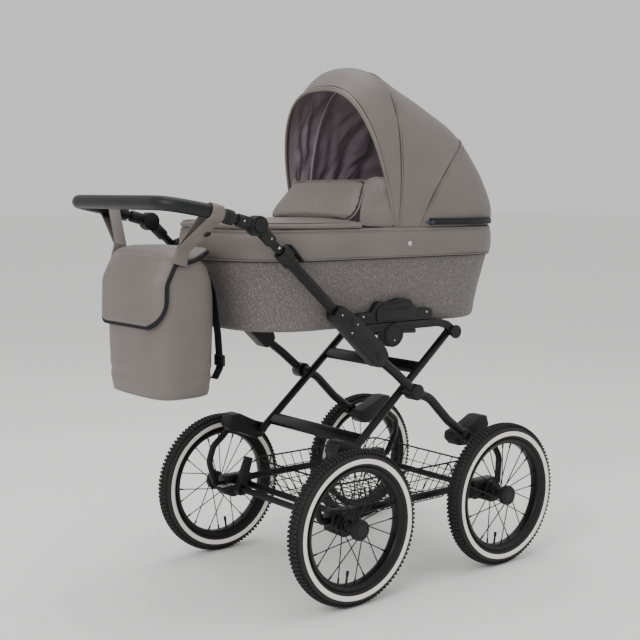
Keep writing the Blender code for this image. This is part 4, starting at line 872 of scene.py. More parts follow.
def oval(end, side, z, corner=0.17):
    """A level rounded rectangle inset from the carrycot's rim, counted round from its left front."""
    corner -= min(end, side)
    along, over = half_length - end - corner, half_width - side - corner
    ring = []
    for quarter, (sx, sy) in enumerate(((1, 1), (-1, 1), (-1, -1), (1, -1))):
        for i in range(15):
            turn = math.radians(90 * (quarter + i / 14))
            spot = Vector((cot_x + sx * along, sy * over, z))
            ring.append(spot + Vector((math.cos(turn), math.sin(turn), 0)) * corner)
        side_steps = 14 if quarter in (0, 2) else 3
        nx, ny = ((-1, 1), (-1, -1), (1, -1), (1, 1))[quarter]
        turn = math.radians(90 * (quarter + 1))
        outwards = Vector((math.cos(turn), math.sin(turn), 0))
        goal = Vector((cot_x + nx * along, ny * over, z)) + outwards * corner
        ring += [ring[-1].lerp(goal, i / side_steps) for i in range(1, side_steps)]
    return ring


def skin(name, rings, *materials, loop=True, caps=(False, False)):
    """A surface over rings of equal point counts."""
    count = len(rings[0])
    faces = [
        (r * count + i, r * count + (i + 1) % count, (r + 1) * count + (i + 1) % count, (r + 1) * count + i)
        for r in range(len(rings) - 1)
        for i in range(count if loop else count - 1)
    ]
    if caps[0]:
        faces.append(tuple(range(count))[::-1])
    if caps[1]:
        faces.append(tuple(range((len(rings) - 1) * count, len(rings) * count)))
    return new_piece(name, [p for ring in rings for p in ring], faces, *materials)


def uneven(piece, depth, size, stretch=(1, 1, 1), seed=0):
    """Soft hollows and swells along the surface's own normals."""
    shift = Vector((seed * 3.7, seed * 1.9, seed * 5.3))
    for vertex in piece.data.vertices:
        spot = Vector([vertex.co[i] / (size * stretch[i]) for i in range(3)]) + shift
        vertex.co += vertex.normal * (noise.noise(spot) + 0.4 * noise.noise(spot * 2.3)) * depth
    return piece


def swollen(piece, voxel, cap, pressure=4.0):
    """Padding: the skin is blown up as cloth, no point moving further than the cap."""
    even = piece.modifiers.new("remesh", "REMESH")
    even.mode = "VOXEL"
    even.voxel_size = voxel
    applied(piece)
    start = [vertex.co.copy() for vertex in piece.data.vertices]
    cloth = piece.modifiers.new("padding", "CLOTH")
    cloth.settings.use_pressure = True
    cloth.settings.uniform_pressure_force = pressure
    cloth.settings.effector_weights.gravity = 0
    for step in range(1, 21):
        bpy.context.scene.frame_set(step)
    applied(piece)
    bpy.context.scene.frame_set(1)
    for vertex, was in zip(piece.data.vertices, start):
        moved = vertex.co - was
        if moved.length > cap:
            vertex.co = was + moved.normalized() * cap
    smooth = piece.modifiers.new("smooth", "SMOOTH")
    smooth.factor = 0.5
    smooth.iterations = 3
    finer = piece.modifiers.new("finer", "SUBSURF")
    finer.levels = finer.render_levels = 1
    applied(piece)
    piece.data.shade_smooth()
    return piece


# Woven melange: fine two-tone threads crossing, with slow shifts of tone
melange, tree, shader = new_material("taupe_melange", "57514d", 0.88, Sheen_Weight=0.12, Sheen_Roughness=0.6)
place = node(tree, "ShaderNodeTexCoord").outputs["Object"]
fleck = node(tree, "ShaderNodeTexNoise",
             {"Vector": place, "Scale": 1 / 0.0016, "Detail": 5.0, "Roughness": 0.75})
run = node(tree, "ShaderNodeMapping", {"Vector": place, "Scale": (1, 1, 0.6)})
slub = node(tree, "ShaderNodeTexNoise",
            {"Vector": run.outputs["Vector"], "Scale": 1 / 0.003, "Detail": 8.0, "Roughness": 0.8})
both = node(tree, "ShaderNodeMix", {"Factor": 0.5, "A": fleck.outputs["Fac"], "B": slub.outputs["Fac"]},
            data_type="FLOAT")
tones = node(tree, "ShaderNodeValToRGB", {"Fac": both.outputs[0]})
for stop, (spot, shade) in zip(
    [tones.color_ramp.elements[0], tones.color_ramp.elements[1], tones.color_ramp.elements.new(0.5)],
    ((0.30, "514b48"), (0.72, "5d5753"), (0.5, "57514d")),
):
    stop.position = spot
    stop.color = linear(shade)
tree.links.new(tones.outputs["Color"], shader.inputs["Base Color"])
bumped(tree, shader, fleck.outputs["Fac"], 0.45, 0.0005)

# Lining satin: smooth and faintly lustrous
satin, tree, shader = new_material("lining_satin", "8d8288", 0.36, Sheen_Weight=0.3, Sheen_Roughness=0.35)
place = node(tree, "ShaderNodeTexCoord").outputs["Object"]
cloud = node(tree, "ShaderNodeTexNoise", {"Vector": place, "Scale": 30.0, "Detail": 4.0})
gloss = node(tree, "ShaderNodeMapRange", {"Value": cloud.outputs["Fac"], "To Min": 0.30, "To Max": 0.44})
tree.links.new(gloss.outputs["Result"], shader.inputs["Roughness"])
bumped(tree, shader, cloud.outputs["Fac"], 0.2, 0.002)

tub_top = band_high.z - 0.005
cover_top = band_low.z - 0.001
rings = []
for z, wall in ((tub_low.z + 0.009, 0.009), (tub_low.z + 0.014, 0.008), (0.64, 0.008), (0.68, 0.008),
                (0.72, 0.008),
                (cover_top, 0.008), (tub_top, 0.008)):
    low_share = max(0.0, (cover_top - z) / (cover_top - tub_low.z - 0.010))
    share = 1 - max(0.0, 1 - low_share) ** 1.44
    rings.append(oval(0.007 + 0.039 * share + wall, 0.007 + 0.018 * share + wall, z))
rings.append(oval(0.007, 0.007, tub_top))
for i in range(17):
    z = cover_top + 0.012 - (cover_top + 0.012 - tub_low.z - 0.012) * i / 16
    low_share = max(0.0, (cover_top - z) / (cover_top - tub_low.z - 0.010))
    share = 1 - max(0.0, 1 - low_share) ** 1.44
    swell = 0.0022 * math.sin(math.pi * min(1, low_share)) ** 0.7 if low_share > 0 else 0
    rings.append(oval(0.007 + 0.039 * share - swell, 0.007 + 0.018 * share - swell, z))
for i in range(1, 6):
    turn = math.radians(90 * i / 5)
    shrink = 0.012 * (1 - math.cos(turn))
    rings.append(oval(0.046 + shrink, 0.025 + shrink, tub_low.z + 0.012 - 0.012 * math.sin(turn)))
tub = smoothed(skin("tub_cover", rings, melange, satin, caps=(True, True)), 60)
for face in tub.data.polygons:
    inside = all(tub_low.z + 0.0085 < tub.data.vertices[v].co.z for v in face.vertices)
    centre = face.center
    outward = Vector((centre.x - cot_x, centre.y * 2.0, 0)).dot(face.normal)
    face.material_index = 1 if inside and (outward < 0 or face.normal.z > 0.9) else 0
uneven(tub, 0.0010, 0.10, (1, 1, 0.7))
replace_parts(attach(tub, "carrycot"), "carrycot_tub")

# Rim band.
# Padded leatherette folded over the tub's edge: full at mid height, piped along its foot and
# topstitched under its upper edge. A press stud sits on each side.
# Leatherette: shallow pores over a slow mottle, softly waxed
hide, tree, shader = new_material("taupe_leatherette", "635b57", 0.5, Coat_Weight=0.08, Coat_Roughness=0.45)
place = node(tree, "ShaderNodeTexCoord").outputs["Object"]
pores = node(tree, "ShaderNodeTexVoronoi", {"Vector": place, "Scale": 1 / 0.0011})
cloud = node(tree, "ShaderNodeTexNoise", {"Vector": place, "Scale": 9.0, "Detail": 4.0})
tones = node(tree, "ShaderNodeValToRGB", {"Fac": cloud.outputs["Fac"]})
for stop, (spot, shade) in zip(tones.color_ramp.elements, ((0.3, "645d59"), (0.7, "6c6560"))):
    stop.position = spot
    stop.color = linear(shade)
tree.links.new(tones.outputs["Color"], shader.inputs["Base Color"])
gloss = node(tree, "ShaderNodeMapRange", {"Value": cloud.outputs["Fac"], "To Min": 0.44, "To Max": 0.57})
tree.links.new(gloss.outputs["Result"], shader.inputs["Roughness"])
bumped(tree, shader, pores.outputs["Distance"], 0.3, 0.0003)
# Painted shadow: a dark material for wires laid where shade falls, in seams, beside rolls and behind pipings
seam_shadow = new_material("painted_seam_shadow", "2c2826", 0.8)[0]
thread = new_material("topstitch_thread", "554f4b", 0.7)[0]

# Stitches: short rounded threads laid end to end along a line
stitch_row, given, result = new_tree("stitch_row", Spacing=0.004, Length=0.0028, Radius=0.0004)
line = node(stitch_row, "GeometryNodeMeshToCurve", {"Mesh": given.outputs["Geometry"]})
spots = node(stitch_row, "GeometryNodeCurveToPoints",
             {"Curve": line.outputs["Curve"], "Length": given.outputs["Spacing"]}, mode="LENGTH")
one = node(stitch_row, "GeometryNodeMeshCylinder",
           {"Vertices": 5, "Radius": given.outputs["Radius"], "Depth": given.outputs["Length"]})
laid = node(stitch_row, "GeometryNodeInstanceOnPoints",
            {"Points": spots.outputs["Points"], "Instance": one.outputs["Mesh"],
             "Rotation": spots.outputs["Rotation"]})
closing(stitch_row, given, result, laid.outputs["Instances"])


def stitched(name, routes, finish, spacing=0.0042, length=0.0030, radius=0.0004):
    points, edges = [], []
    for route in routes:
        first = len(points)
        points += [tuple(p) for p in route]
        edges += [(first + i, first + i + 1) for i in range(len(route) - 1)]
    mesh = bpy.data.meshes.new(name)
    mesh.from_pydata(points, edges, [])
    made = bpy.data.objects.new(name, mesh)
    bpy.context.scene.collection.objects.link(made)
    with_nodes(made, stitch_row, {"Spacing": spacing, "Length": length, "Radius": radius, "Finish": finish})
    return smoothed(made, 50)


foot, top = band_low.z, band_high.z
profile = [
    (0.0042, foot - 0.0010), (0.0012, foot + 0.0002), (-0.0006, foot + 0.0030), (-0.0022, foot + 0.0100),
    (-0.0032, foot + 0.0220), (-0.0034, foot + 0.0340), (-0.0026, foot + 0.0450), (-0.0010, foot + 0.0535),
    (0.0002, foot + 0.0560), (0.0006, foot + 0.0566), (0.0002, foot + 0.0572), (0.0000, foot + 0.0590),
    (0.0006, top - 0.0024), (0.0028, top - 0.0002), (0.0070, top + 0.0004), (0.0120, top - 0.0002),
    (0.0150, top - 0.0022), (0.0150, top - 0.0042), (0.0066, top - 0.0046), (0.0066, foot + 0.0020),
]
rings = [oval(inset, inset, z) for inset, z in profile]
band = smoothed(skin("rim_padding", rings + [rings[0]], hide), 55)
uneven(band, 0.0011, 0.045, (1, 1, 2.2), 1)
uneven(band, 0.0009, 0.14, (1, 1, 1), 2)
piping = wire("piping", [oval(0.0008, 0.0008, foot - 0.0006)], 0.0017, hide, 8, loop=True)
# A dark wire below and behind the piping is painted shadow along the band's foot.
shadow = wire("shadow", [oval(0.0032, 0.0032, foot - 0.0034)], 0.0012, seam_shadow, 6, loop=True)
top_row = oval(-0.0004, -0.0004, foot + 0.0600)
sewing = stitched("sewing", [top_row + top_row[:1]], thread)
band = merged("rim_band_padded", [band, piping, shadow, sewing])
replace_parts(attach(band, "carrycot"), "rim_band")
for side_name, side in (("left", 1), ("right", -1)):
    stud = turned(
        "stud",
        [(0.0001, 0.0036), (0.0028, 0.0033), (0.0046, 0.0022), (0.0053, 0.0008), (0.0060, 0.0006),
         (0.0060, -0.001)],
        24,
        zinc,
    )
    across(stud, 0.114, side * (half_width + 0.0030), foot + 0.029, side, "carrycot",
           f"{side_name}_press_stud")

# Mattress.
# A firm foam pad in a white cotton cover with a rolled edge.
cotton, tree, shader = new_material("white_cotton", "e6e3de", 0.9, Sheen_Weight=0.2)
place = node(tree, "ShaderNodeTexCoord").outputs["Object"]
weave = node(tree, "ShaderNodeTexNoise", {"Vector": place, "Scale": 1 / 0.0012, "Detail": 3.0})
bumped(tree, shader, weave.outputs["Fac"], 0.4, 0.0004)
pad_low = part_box("mattress")[0]
rings = []
for z, shrink in ((0.0004, 0.020), (0.004, 0.011), (0.014, 0.008), (0.024, 0.008), (0.031, 0.011),
                  (0.0345, 0.020)):
    rings.append(oval(0.054 + shrink, 0.033 + shrink, pad_low.z + z))
pad = smoothed(skin("mattress_pad", rings, cotton, caps=(True, True)), 70)
swollen(pad, 0.006, 0.005)
rolled = wire("rolled", [oval(0.0615, 0.0405, pad_low.z + 0.019)], 0.0022, cotton, 8, loop=True)
pad = merged("mattress_cover", [pad, rolled])
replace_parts(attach(pad, "carrycot"), "mattress")

# Apron.
# A padded leatherette cover buttoned over the foot end. Its edge is rolled and piped, and it
# crowns gently towards its middle.
apron_low, apron_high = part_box("apron")
rings = [oval(0.0300, 0.0300, apron_low.z), oval(0.0040, 0.0040, apron_low.z + 0.0002)]
for i in range(9):
    turn = math.radians(-60 + 150 * i / 8)
    inset = 0.0050 - 0.0062 * math.cos(turn)
    rings.append(oval(inset, inset, apron_low.z + 0.0062 + 0.0062 * math.sin(turn)))
for inset, rise in ((0.012, 0.0133), (0.022, 0.0146), (0.036, 0.0160), (0.055, 0.0176), (0.08, 0.0192),
                    (0.11, 0.0203),
                    (0.14, 0.0208), (0.165, 0.0210)):
    rings.append(oval(inset, inset, apron_low.z + rise))
apron = skin("apron_cover", rings, hide, caps=(True, True))
body = bmesh.new()
body.from_mesh(apron.data)
bmesh.ops.bisect_plane(
    body, geom=[*body.verts, *body.edges, *body.faces], plane_co=(apron_high.x, 0, 0), plane_no=(1, 0, 0),
    clear_outer=True,
)
bmesh.ops.holes_fill(body, edges=[e for e in body.edges if e.is_boundary])
body.to_mesh(apron.data)
body.free()
smoothed(apron, 50)
uneven(apron, 0.0016, 0.09, (1, 1, 1), 4)
roll = [p for p in oval(0.0072, 0.0072, apron_low.z + 0.0128) if p.x < apron_high.x - 0.004]
# The dark wire along the roll is painted shade in the crease beside its piping.
roll_shade_line = wire("roll", [roll], 0.0012, seam_shadow, 6)
roll_pipe = wire("pipe", [[p + Vector((0, 0, 0.0006)) + (p - Vector((cot_x, 0, p.z))).normalized() * 0.0016
                           for p in roll]],
                 0.0016, hide, 8)
apron = merged("apron_padded", [apron, roll_shade_line, roll_pipe])
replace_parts(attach(apron, "carrycot"), "apron")

# Apron flap.
# The wind flap stands up from the apron's edge: a soft quilted panel with strongly rounded lower
# corners, piped all round, and a guard at each side that closes the gap to the hood.
flap_pivot = at_joint("apron_flap_fold")
flap_way = Vector((math.cos(math.radians(54)), 0, math.sin(math.radians(54))))
flap_off = Vector((-flap_way.z, 0, flap_way.x))
FLAP_LENGTH, FLAP_FOOT, FLAP_TOP = 0.116, 0.166, 0.129


def flap_half(u):
    """The flap's half width at a length up from its foot."""
    half = FLAP_FOOT + (FLAP_TOP - FLAP_FOOT) * u / FLAP_LENGTH
    for radius, near in ((0.046, u), (0.016, FLAP_LENGTH - u)):
        if near < radius:
            half -= radius - math.sqrt(max(0.0, radius**2 - (radius - near) ** 2))
    return half


def flap_spot(u, across_share, lift):
    bow = 0.006 * (1 - across_share**2)
    aside = Vector((0, flap_half(u) * across_share, 0))
    return flap_pivot + flap_way * u + flap_off * (lift + bow - 0.003) + aside


rows, columns = 22, 48
faces_up = []
for lift_sign in (1, -1):
    grid = []
    for r in range(rows + 1):
        u = FLAP_LENGTH * (1 - math.cos(math.pi * r / rows)) / 2
        line = []
        for c in range(columns + 1):
            share = -math.cos(math.pi * c / columns)
            full = max(0.0, 1 - share**8) ** 0.5 * max(0.0, 1 - (2 * u / FLAP_LENGTH - 1) ** 8) ** 0.5
            line.append(flap_spot(u, share, lift_sign * (0.0004 + 0.0056 * full)))
        grid.append(line)
    faces_up.append(grid)
shell = faces_up[0] + faces_up[1][::-1]
flap = skin("flap_panel", shell + [shell[0]], hide, loop=False)
body = bmesh.new()
body.from_mesh(flap.data)
bmesh.ops.remove_doubles(body, verts=body.verts, dist=0.0009)
bmesh.ops.holes_fill(body, edges=[e for e in body.edges if e.is_boundary])
bmesh.ops.recalc_face_normals(body, faces=body.faces)
body.to_mesh(flap.data)
body.free()
smoothed(flap, 60)
swollen(flap, 0.004, 0.004)
uneven(flap, 0.0010, 0.05, (1, 1, 1), 6)
edge = [flap_spot(FLAP_LENGTH * (1 - math.cos(math.pi * i / 40)) / 2, 1, 0) for i in range(41)]
edge += [Vector((p.x, -p.y, p.z)) for p in reversed(edge)]
piped = wire("piped", [edge], 0.0021, hide, 8, loop=True)
flap = merged("apron_flap_padded", [flap, piped])
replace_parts(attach(flap, "apron_lid"), "apron_flap")
for side_name, side in (("left", 1), ("right", -1)):
    corners = [
        [(0.040, 0.126, 0.926), (0.051, 0.148, 0.935), (0.060, 0.168, 0.934), (0.068, 0.179, 0.926)],
        [(0.026, 0.136, 0.905), (0.046, 0.158, 0.907), (0.060, 0.174, 0.905), (0.071, 0.182, 0.900)],
        [(0.010, 0.148, 0.876), (0.038, 0.167, 0.876), (0.058, 0.180, 0.874), (0.075, 0.184, 0.870)],
        [(-0.004, 0.160, 0.846), (0.030, 0.175, 0.844), (0.056, 0.184, 0.842), (0.078, 0.186, 0.838)],
        [(-0.010, 0.166, 0.826), (0.028, 0.178, 0.826), (0.056, 0.185, 0.826), (0.080, 0.187, 0.826)],
    ]
    guard = skin("guard", [[Vector((x, side * y, z)) for x, y, z in row] for row in corners], hide,
                 loop=False)
    for kind, settings in (("SUBSURF", {"levels": 3, "render_levels": 3}),
                           ("SOLIDIFY", {"thickness": 0.004, "offset": 0})):
        step = guard.modifiers.new(kind.lower(), kind)
        for key, value in settings.items():
            setattr(step, key, value)
    applied(guard)
    smoothed(guard, 50)
    uneven(guard, 0.0022, 0.030, (1, 1, 2), 8 + side)
    hem = wire("hem", [[Vector((x, side * y, z + 0.001)) for x, y, z in filleted(corners[0], 0.02, 4)]],
               0.0028, hide, 8)
    guard = merged(f"{side_name}_wind_guard", [guard, hem])
    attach(guard, "carrycot")

# Hood.
# A leatherette canopy drawn over a front bow, a middle bow and the head end, with a satin lining
# that hangs in loose folds inside it. A dark zip runs low round the back; piping edges the front.
# Each bow line is (foot x, half width, crown x, crown z).
canopy_low, canopy_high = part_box("hood_canopy")
hood_foot_z = canopy_low.z
head_x, hood_top = band_high.x, canopy_high.z
bows = [
    (head_x - foot, half_width - tuck, head_x - back, hood_top - drop)
    for foot, tuck, back, drop in (
        (0.407, 0.010, 0.480, 0.050), (0.404, 0.007, 0.425, 0.000), (0.399, 0.005, 0.372, 0.003),
        (0.372, 0.004, 0.288, 0.038), (0.336, 0.004, 0.202, 0.077), (0.286, 0.004, 0.118, 0.126),
        (0.156, 0.012, 0.052, 0.212), (0.066, 0.042, 0.016, 0.293), (0.021, 0.097, 0.000, 0.355),
    )
]


def bow_at(v):
    """The bow line at any place between the given ones, as a smooth curve through them."""
    v = min(max(v, 0.0), len(bows) - 1.0)
    i = min(int(v), len(bows) - 2)
    t = v - i
    before, low, high, after = (np.array(bows[min(max(j, 0), len(bows) - 1)])
                                for j in (i - 1, i, i + 1, i + 2))
    return 0.5 * (2 * low + (high - before) * t + (2 * before - 5 * low + 4 * high - after) * t**2
                  + (3 * low - before - 3 * high + after) * t**3)


def hood_spot(v, turn, inset=0.0):
    """A point of the canopy: v runs from the front bow to the back, turn from side to side."""
    foot_x, half, crown_x, crown_z = bow_at(v)
    rise = max(0.0, math.sin(turn)) ** (2 / 2.6)
    swing = math.copysign(abs(math.cos(turn)) ** (2 / 2.6), math.cos(turn))
    middle = Vector((0.20, 0, hood_foot_z))
    spot = Vector((foot_x + (crown_x - foot_x) * rise, half * swing,
                   hood_foot_z + (crown_z - hood_foot_z) * rise))
    slack = 0.0
    for first, last in ((2.0, 5.3), (5.3, 8.0)):
        if first < v < last:
            slack = 0.0040 * math.sin(math.pi * (v - first) / (last - first)) * rise
    if inset + slack:
        spot -= (spot - middle).normalized() * (inset + slack)
    return spot


LAST_BOW = len(bows) - 1.0
turns = [math.pi * (0.5 - 0.5 * math.cos(math.pi * i / 80)) for i in range(81)]
turns = [0.35 * t + 0.65 * math.pi * i / 80 for i, t in enumerate(turns)]
lines = [LAST_BOW * i / 96 for i in range(97)]
canopy = skin("canopy_outer", [[hood_spot(v, t) for t in turns] for v in lines], hide, loop=False)
uneven(canopy, 0.0016, 0.085, (1, 1, 1), 11)
thick = canopy.modifiers.new("cloth", "SOLIDIFY")
thick.thickness = 0.0018
thick.offset = -1
applied(canopy)
smoothed(canopy, 50)
canopy.name = "hood_leatherette"


def bent_with_hood(piece):
    """The piece with its transform baked into its mesh."""
    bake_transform(piece)
    return piece


# Seams: a dark wire in each as painted shade in a shallow groove, with a thread row along each side
seams = [
    [hood_spot(2.0, t) for t in turns],
    [hood_spot(4.0 + 1.3 * math.sin(t), t) for t in turns],
]
seam_shade_lines = wire("seams", [seams[0][1:-1], seams[1]], 0.0011, seam_shadow, 6)
welt = wire("welt", [[hood_spot(2.06, t, -0.0006) for t in turns]], 0.0017, hide, 8)
back_welt = wire("welt", [[hood_spot(4.05 + 1.3 * math.sin(t), t, -0.0004) for t in turns]], 0.0012, hide, 8)
rows = stitched(
    "rows",
    [[hood_spot(2.16, t, -0.0003) for t in turns],
     [hood_spot(4.17 + 1.3 * math.sin(t), t, -0.0003) for t in turns]],
    thread,
)
# Front edge: a padded roll, a pale piping and a dark wire behind it as painted shadow
pale, tree, shader = new_material("pale_piping", "948d87", 0.55)
place = node(tree, "ShaderNodeTexCoord").outputs["Object"]
weave = node(tree, "ShaderNodeTexNoise", {"Vector": place, "Scale": 1 / 0.001, "Detail": 3.0})
bumped(tree, shader, weave.outputs["Fac"], 0.4, 0.0003)
roll = wire("roll", [[hood_spot(0.0, t, 0.0012) for t in turns]], 0.0036, hide, 12)
pipe = wire("pipe", [[hood_spot(0.13, t, -0.0008) for t in turns]], 0.0013, pale, 8)
pipe_shadow = wire("pipe_shadow", [[hood_spot(0.20, t, -0.0001) for t in turns]], 0.0011, seam_shadow, 6)
# Facing: the leatherette turned in behind the front bow
facing = skin("facing", [[hood_spot(0.36 * i / 8, t, 0.0024) for t in turns] for i in range(9)], hide,
              loop=False)
thick = facing.modifiers.new("cloth", "SOLIDIFY")
thick.thickness = 0.0012
thick.offset = 0
applied(facing)
smoothed(facing, 50)
trim = merged("hood_trim", [seam_shade_lines, welt, back_welt, rows, roll, pipe, pipe_shadow, facing])
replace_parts(canopy, "hood_canopy")
bent_with_hood(canopy)
bent_with_hood(trim)

# Lining
rings = []
for i in range(81):
    v = 0.30 + (LAST_BOW - 0.34) * i / 80
    ring = []
    for t in turns:
        depth = 0.0075 if i > 2 else 0.0030 + 0.0015 * i
        spot = hood_spot(v, t, depth)
        rise = math.sin(t)
        fold = noise.noise(Vector((v * 2.1 + 2.2 * t, t * 3.2 - v * 0.9, 4.2)))
        fold += 0.55 * noise.noise(Vector((v * 4.6 - 3.1 * t, t * 6.5 + v * 1.3, 9.1)))
        ripple = math.sin(t * 26 + 5 * fold + v * 3) * 0.0012 * max(0.0, 1 - rise)
        spot -= (spot - Vector((0.2, 0, hood_foot_z))).normalized() * (
            max(0.0, 0.0065 + 0.0115 * fold + ripple) * min(1.0, i / 6)
        )
        ring.append(spot)
    rings.append(ring)
lining = skin("lining", rings, satin, loop=False)
thick = lining.modifiers.new("cloth", "SOLIDIFY")
thick.thickness = 0.0010
thick.offset = 0
applied(lining)
smoothed(lining, 60)
lining.name = "hood_lining"
bent_with_hood(lining)
# Window surround: a silver piping and a navy one, in an arch across the inside of the back
silver, tree, shader = new_material("silver_piping", "c9c8cf", 0.38)
place = node(tree, "ShaderNodeTexCoord").outputs["Object"]
weave = node(tree, "ShaderNodeTexNoise", {"Vector": place, "Scale": 1 / 0.001, "Detail": 3.0})
bumped(tree, shader, weave.outputs["Fac"], 0.4, 0.0003)
navy = new_material("navy_piping", "2b2b3c", 0.6)[0]
inner_turns = turns[5:-5]
arch = merged(
    "hood_inner_piping",
    [
        wire("arch", [[hood_spot(5.6 + 0.5 * math.sin(t), t, 0.0205) for t in inner_turns]], 0.0026, silver,
             10),
        wire("arch", [[hood_spot(5.44 + 0.5 * math.sin(t), t, 0.0200) for t in inner_turns]], 0.0020, navy,
             10),
    ],
)
bent_with_hood(arch)
dressed("hood_bow", satin, edge=0)

# Zip round the back: a dark tape with a row of fine teeth and a pull at each end
# Coil zip: matt tape, slightly shiny teeth
tape, tree, shader = new_material("zip_tape", "0e0b10", 0.6, Specular_IOR_Level=0.3)
place = node(tree, "ShaderNodeTexCoord").outputs["Object"]
rib = node(tree, "ShaderNodeTexWave", {"Vector": place, "Scale": 1 / 0.004})
bumped(tree, shader, rib.outputs["Fac"], 0.25, 0.0003)
teeth = new_material("zip_teeth", "241f2b", 0.4)[0]
zip_low = hood_foot_z + 0.0035


def hood_plan(z, out):
    """The line of the hood's foot round the head end, from the right side to the left."""
    ring = oval(-out, -out, z)
    back = [p for p in ring if p.x > 0.152]
    return sorted(back, key=lambda p: math.atan2(p.y, p.x - cot_x))


rings = [hood_plan(zip_low + dz, out) for dz, out in (
    (0.0000, -0.0045), (-0.0004, 0.0020), (0.0015, 0.0034), (0.0070, 0.0032), (0.0130, 0.0022),
    (0.0152, 0.0008),
    (0.0150, -0.0060),
)]
zip_band = skin("zip_band", rings + [rings[0]], tape, loop=False)
body = bmesh.new()
body.from_mesh(zip_band.data)
bmesh.ops.remove_doubles(body, verts=body.verts, dist=1e-6)
bmesh.ops.holes_fill(body, edges=[e for e in body.edges if e.is_boundary])
bmesh.ops.recalc_face_normals(body, faces=body.faces)
body.to_mesh(zip_band.data)
body.free()
smoothed(zip_band, 50)
row = stitched("teeth", [hood_plan(zip_low + 0.0070, 0.0036)], teeth, 0.0026, 0.0013, 0.0013)
pulls = []
for side in (1, -1):
    end = hood_plan(zip_low + 0.006, 0.0040)[-1 if side > 0 else 0]
    pulls.append(block("slider", (end.x - 0.001, end.y - 0.0022, end.z - 0.0042),
                       (end.x + 0.009, end.y + 0.0022, end.z + 0.0042),
                       0.0011, navy))
    pulls.append(block("pull", (end.x - 0.015, end.y - 0.0010, end.z - 0.0024),
                       (end.x + 0.003, end.y + 0.0014, end.z + 0.0024),
                       0.0008, navy))
zip_band = merged("hood_zip", [zip_band, row, *pulls])
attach(zip_band, "carrycot")

# Bag.
# A soft upright satchel: a lofted leatherette shell that domes at the top and draws in towards
# its base board. The flap folds over from the pram's side, edged by a dark zip.
bag_low, bag_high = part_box("bag_body")
bag_x = (bag_low.x + bag_high.x) / 2
BAG_LOOP = 96


def bag_ring(z, half_depth, half, shift, power=3.4):
    ring = []
    for i in range(BAG_LOOP):
        turn = 2 * math.pi * i / BAG_LOOP
        ring.append(Vector((
            bag_x + shift + half_depth * math.copysign(abs(math.cos(turn)) ** (2 / power), math.cos(turn)),
            half * math.copysign(abs(math.sin(turn)) ** (2 / power), math.sin(turn)),
            z,
        )))
    return ring


bag_stations = np.array([
    (-0.0080, 0.058, 0.102, 0.000), (-0.0050, 0.0670, 0.1120, 0.000), (0.0000, 0.0730, 0.1185, 0.000),
    (0.0120, 0.0758, 0.1214, 0.000), (0.0500, 0.0778, 0.1236, 0.000), (0.1000, 0.0796, 0.1258, 0.000),
    (0.1600, 0.0808, 0.1280, 0.000), (0.2080, 0.0805, 0.1288, -0.001), (0.2420, 0.0778, 0.1278, -0.0030),
    (0.2640, 0.0725, 0.1250, -0.0060), (0.2800, 0.0640, 0.1200, -0.0095), (0.2905, 0.0520, 0.1115, -0.0125),
    (0.2965, 0.0370, 0.1005, -0.0145), (0.2990, 0.0190, 0.0870, -0.0155),
])
rings = []
for i in range(70):
    place = i / 69 * (len(bag_stations) - 1)
    values = [np.interp(place, range(len(bag_stations)), bag_stations[:, c]) for c in range(4)]
    rings.append(bag_ring(bag_low.z + values[0], *values[1:]))
bag = smoothed(skin("bag_shell", rings, hide, caps=(True, True)), 60)
ease = bag.modifiers.new("ease", "SMOOTH")
ease.factor = 0.5
ease.iterations = 4
applied(bag)
for vertex in bag.data.vertices:
    up = (vertex.co.z - bag_low.z) / 0.30
    belly = math.sin(math.pi * min(1, max(0, up))) * 0.5
    vertex.co += vertex.normal * 0.0022 * belly * noise.noise(vertex.co * 14 + Vector((3, 1, 7)))
    sag = math.exp(-((up - 0.12) / 0.10) ** 2)
    vertex.co += vertex.normal * 0.0014 * sag * math.sin(vertex.co.z * 190 + 3 * noise.noise(vertex.co * 10))
base_seam = wire("base_seam", [bag_ring(bag_low.z - 0.0015, 0.0716, 0.1170, 0.000)],
                 0.0014, hide, 8, loop=True)
bag = merged("bag_leatherette", [bag, base_seam])
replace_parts(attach(bag, "bag"), "bag_body")

# Bag flap
FLAP_FLAT, FLAP_BEND, FLAP_HALF = 0.082, 0.0485, 0.127
hinge = at_joint("bag_flap_open")
back_x = bag_x - 0.0792
flap_path = filleted(
    [
        hinge + Vector((-0.020, 0, -0.0030)),
        Vector((bag_x - 0.014, 0, bag_high.z + 0.0045)),
        Vector((bag_x - 0.051, 0, bag_high.z - 0.0020)),
        Vector((back_x - 0.0022, 0, bag_high.z - 0.0600)),
        Vector((back_x - 0.0045, 0, bag_high.z - 0.1410)),
        Vector((back_x - 0.0030, 0, bag_high.z - 0.1500)),
    ],
    0.06,
    8,
)
lengths = [0.0]
for one, two in zip(flap_path, flap_path[1:]):
    lengths.append(lengths[-1] + (two - one).length)
FLAP_RUN = lengths[-1]


def flap_surface(run, wide, lift=0.0):
    """A point of the bag's flap: run from its hinge to its hem, wide across from the middle."""
    axes = [[p[k] for p in flap_path] for k in (0, 2)]
    x, z = (float(np.interp(run, lengths, a)) for a in axes)
    ahead = [float(np.interp(min(run + 0.002, FLAP_RUN), lengths, a)) for a in axes]
    behind = [float(np.interp(max(run - 0.002, 0), lengths, a)) for a in axes]
    along = Vector((ahead[0] - behind[0], 0, ahead[1] - behind[1])).normalized()
    inward = Vector((-along.z, 0, along.x))
    if inward.dot(Vector((bag_x - x, 0, bag_low.z + 0.15 - z))) < 0:
        inward = -inward
    far = max(0.0, abs(wide) - FLAP_FLAT)
    turn = min(far / FLAP_BEND, math.pi / 2)
    over = FLAP_FLAT * min(1.0, abs(wide) / FLAP_FLAT) + (FLAP_BEND + lift) * math.sin(turn)
    depth = (FLAP_BEND + lift) * (1 - math.cos(turn)) - lift
    crown = 0.0020 * (1 - (wide / FLAP_HALF) ** 2)
    return Vector((x, math.copysign(over, wide), z)) + inward * (depth - crown)


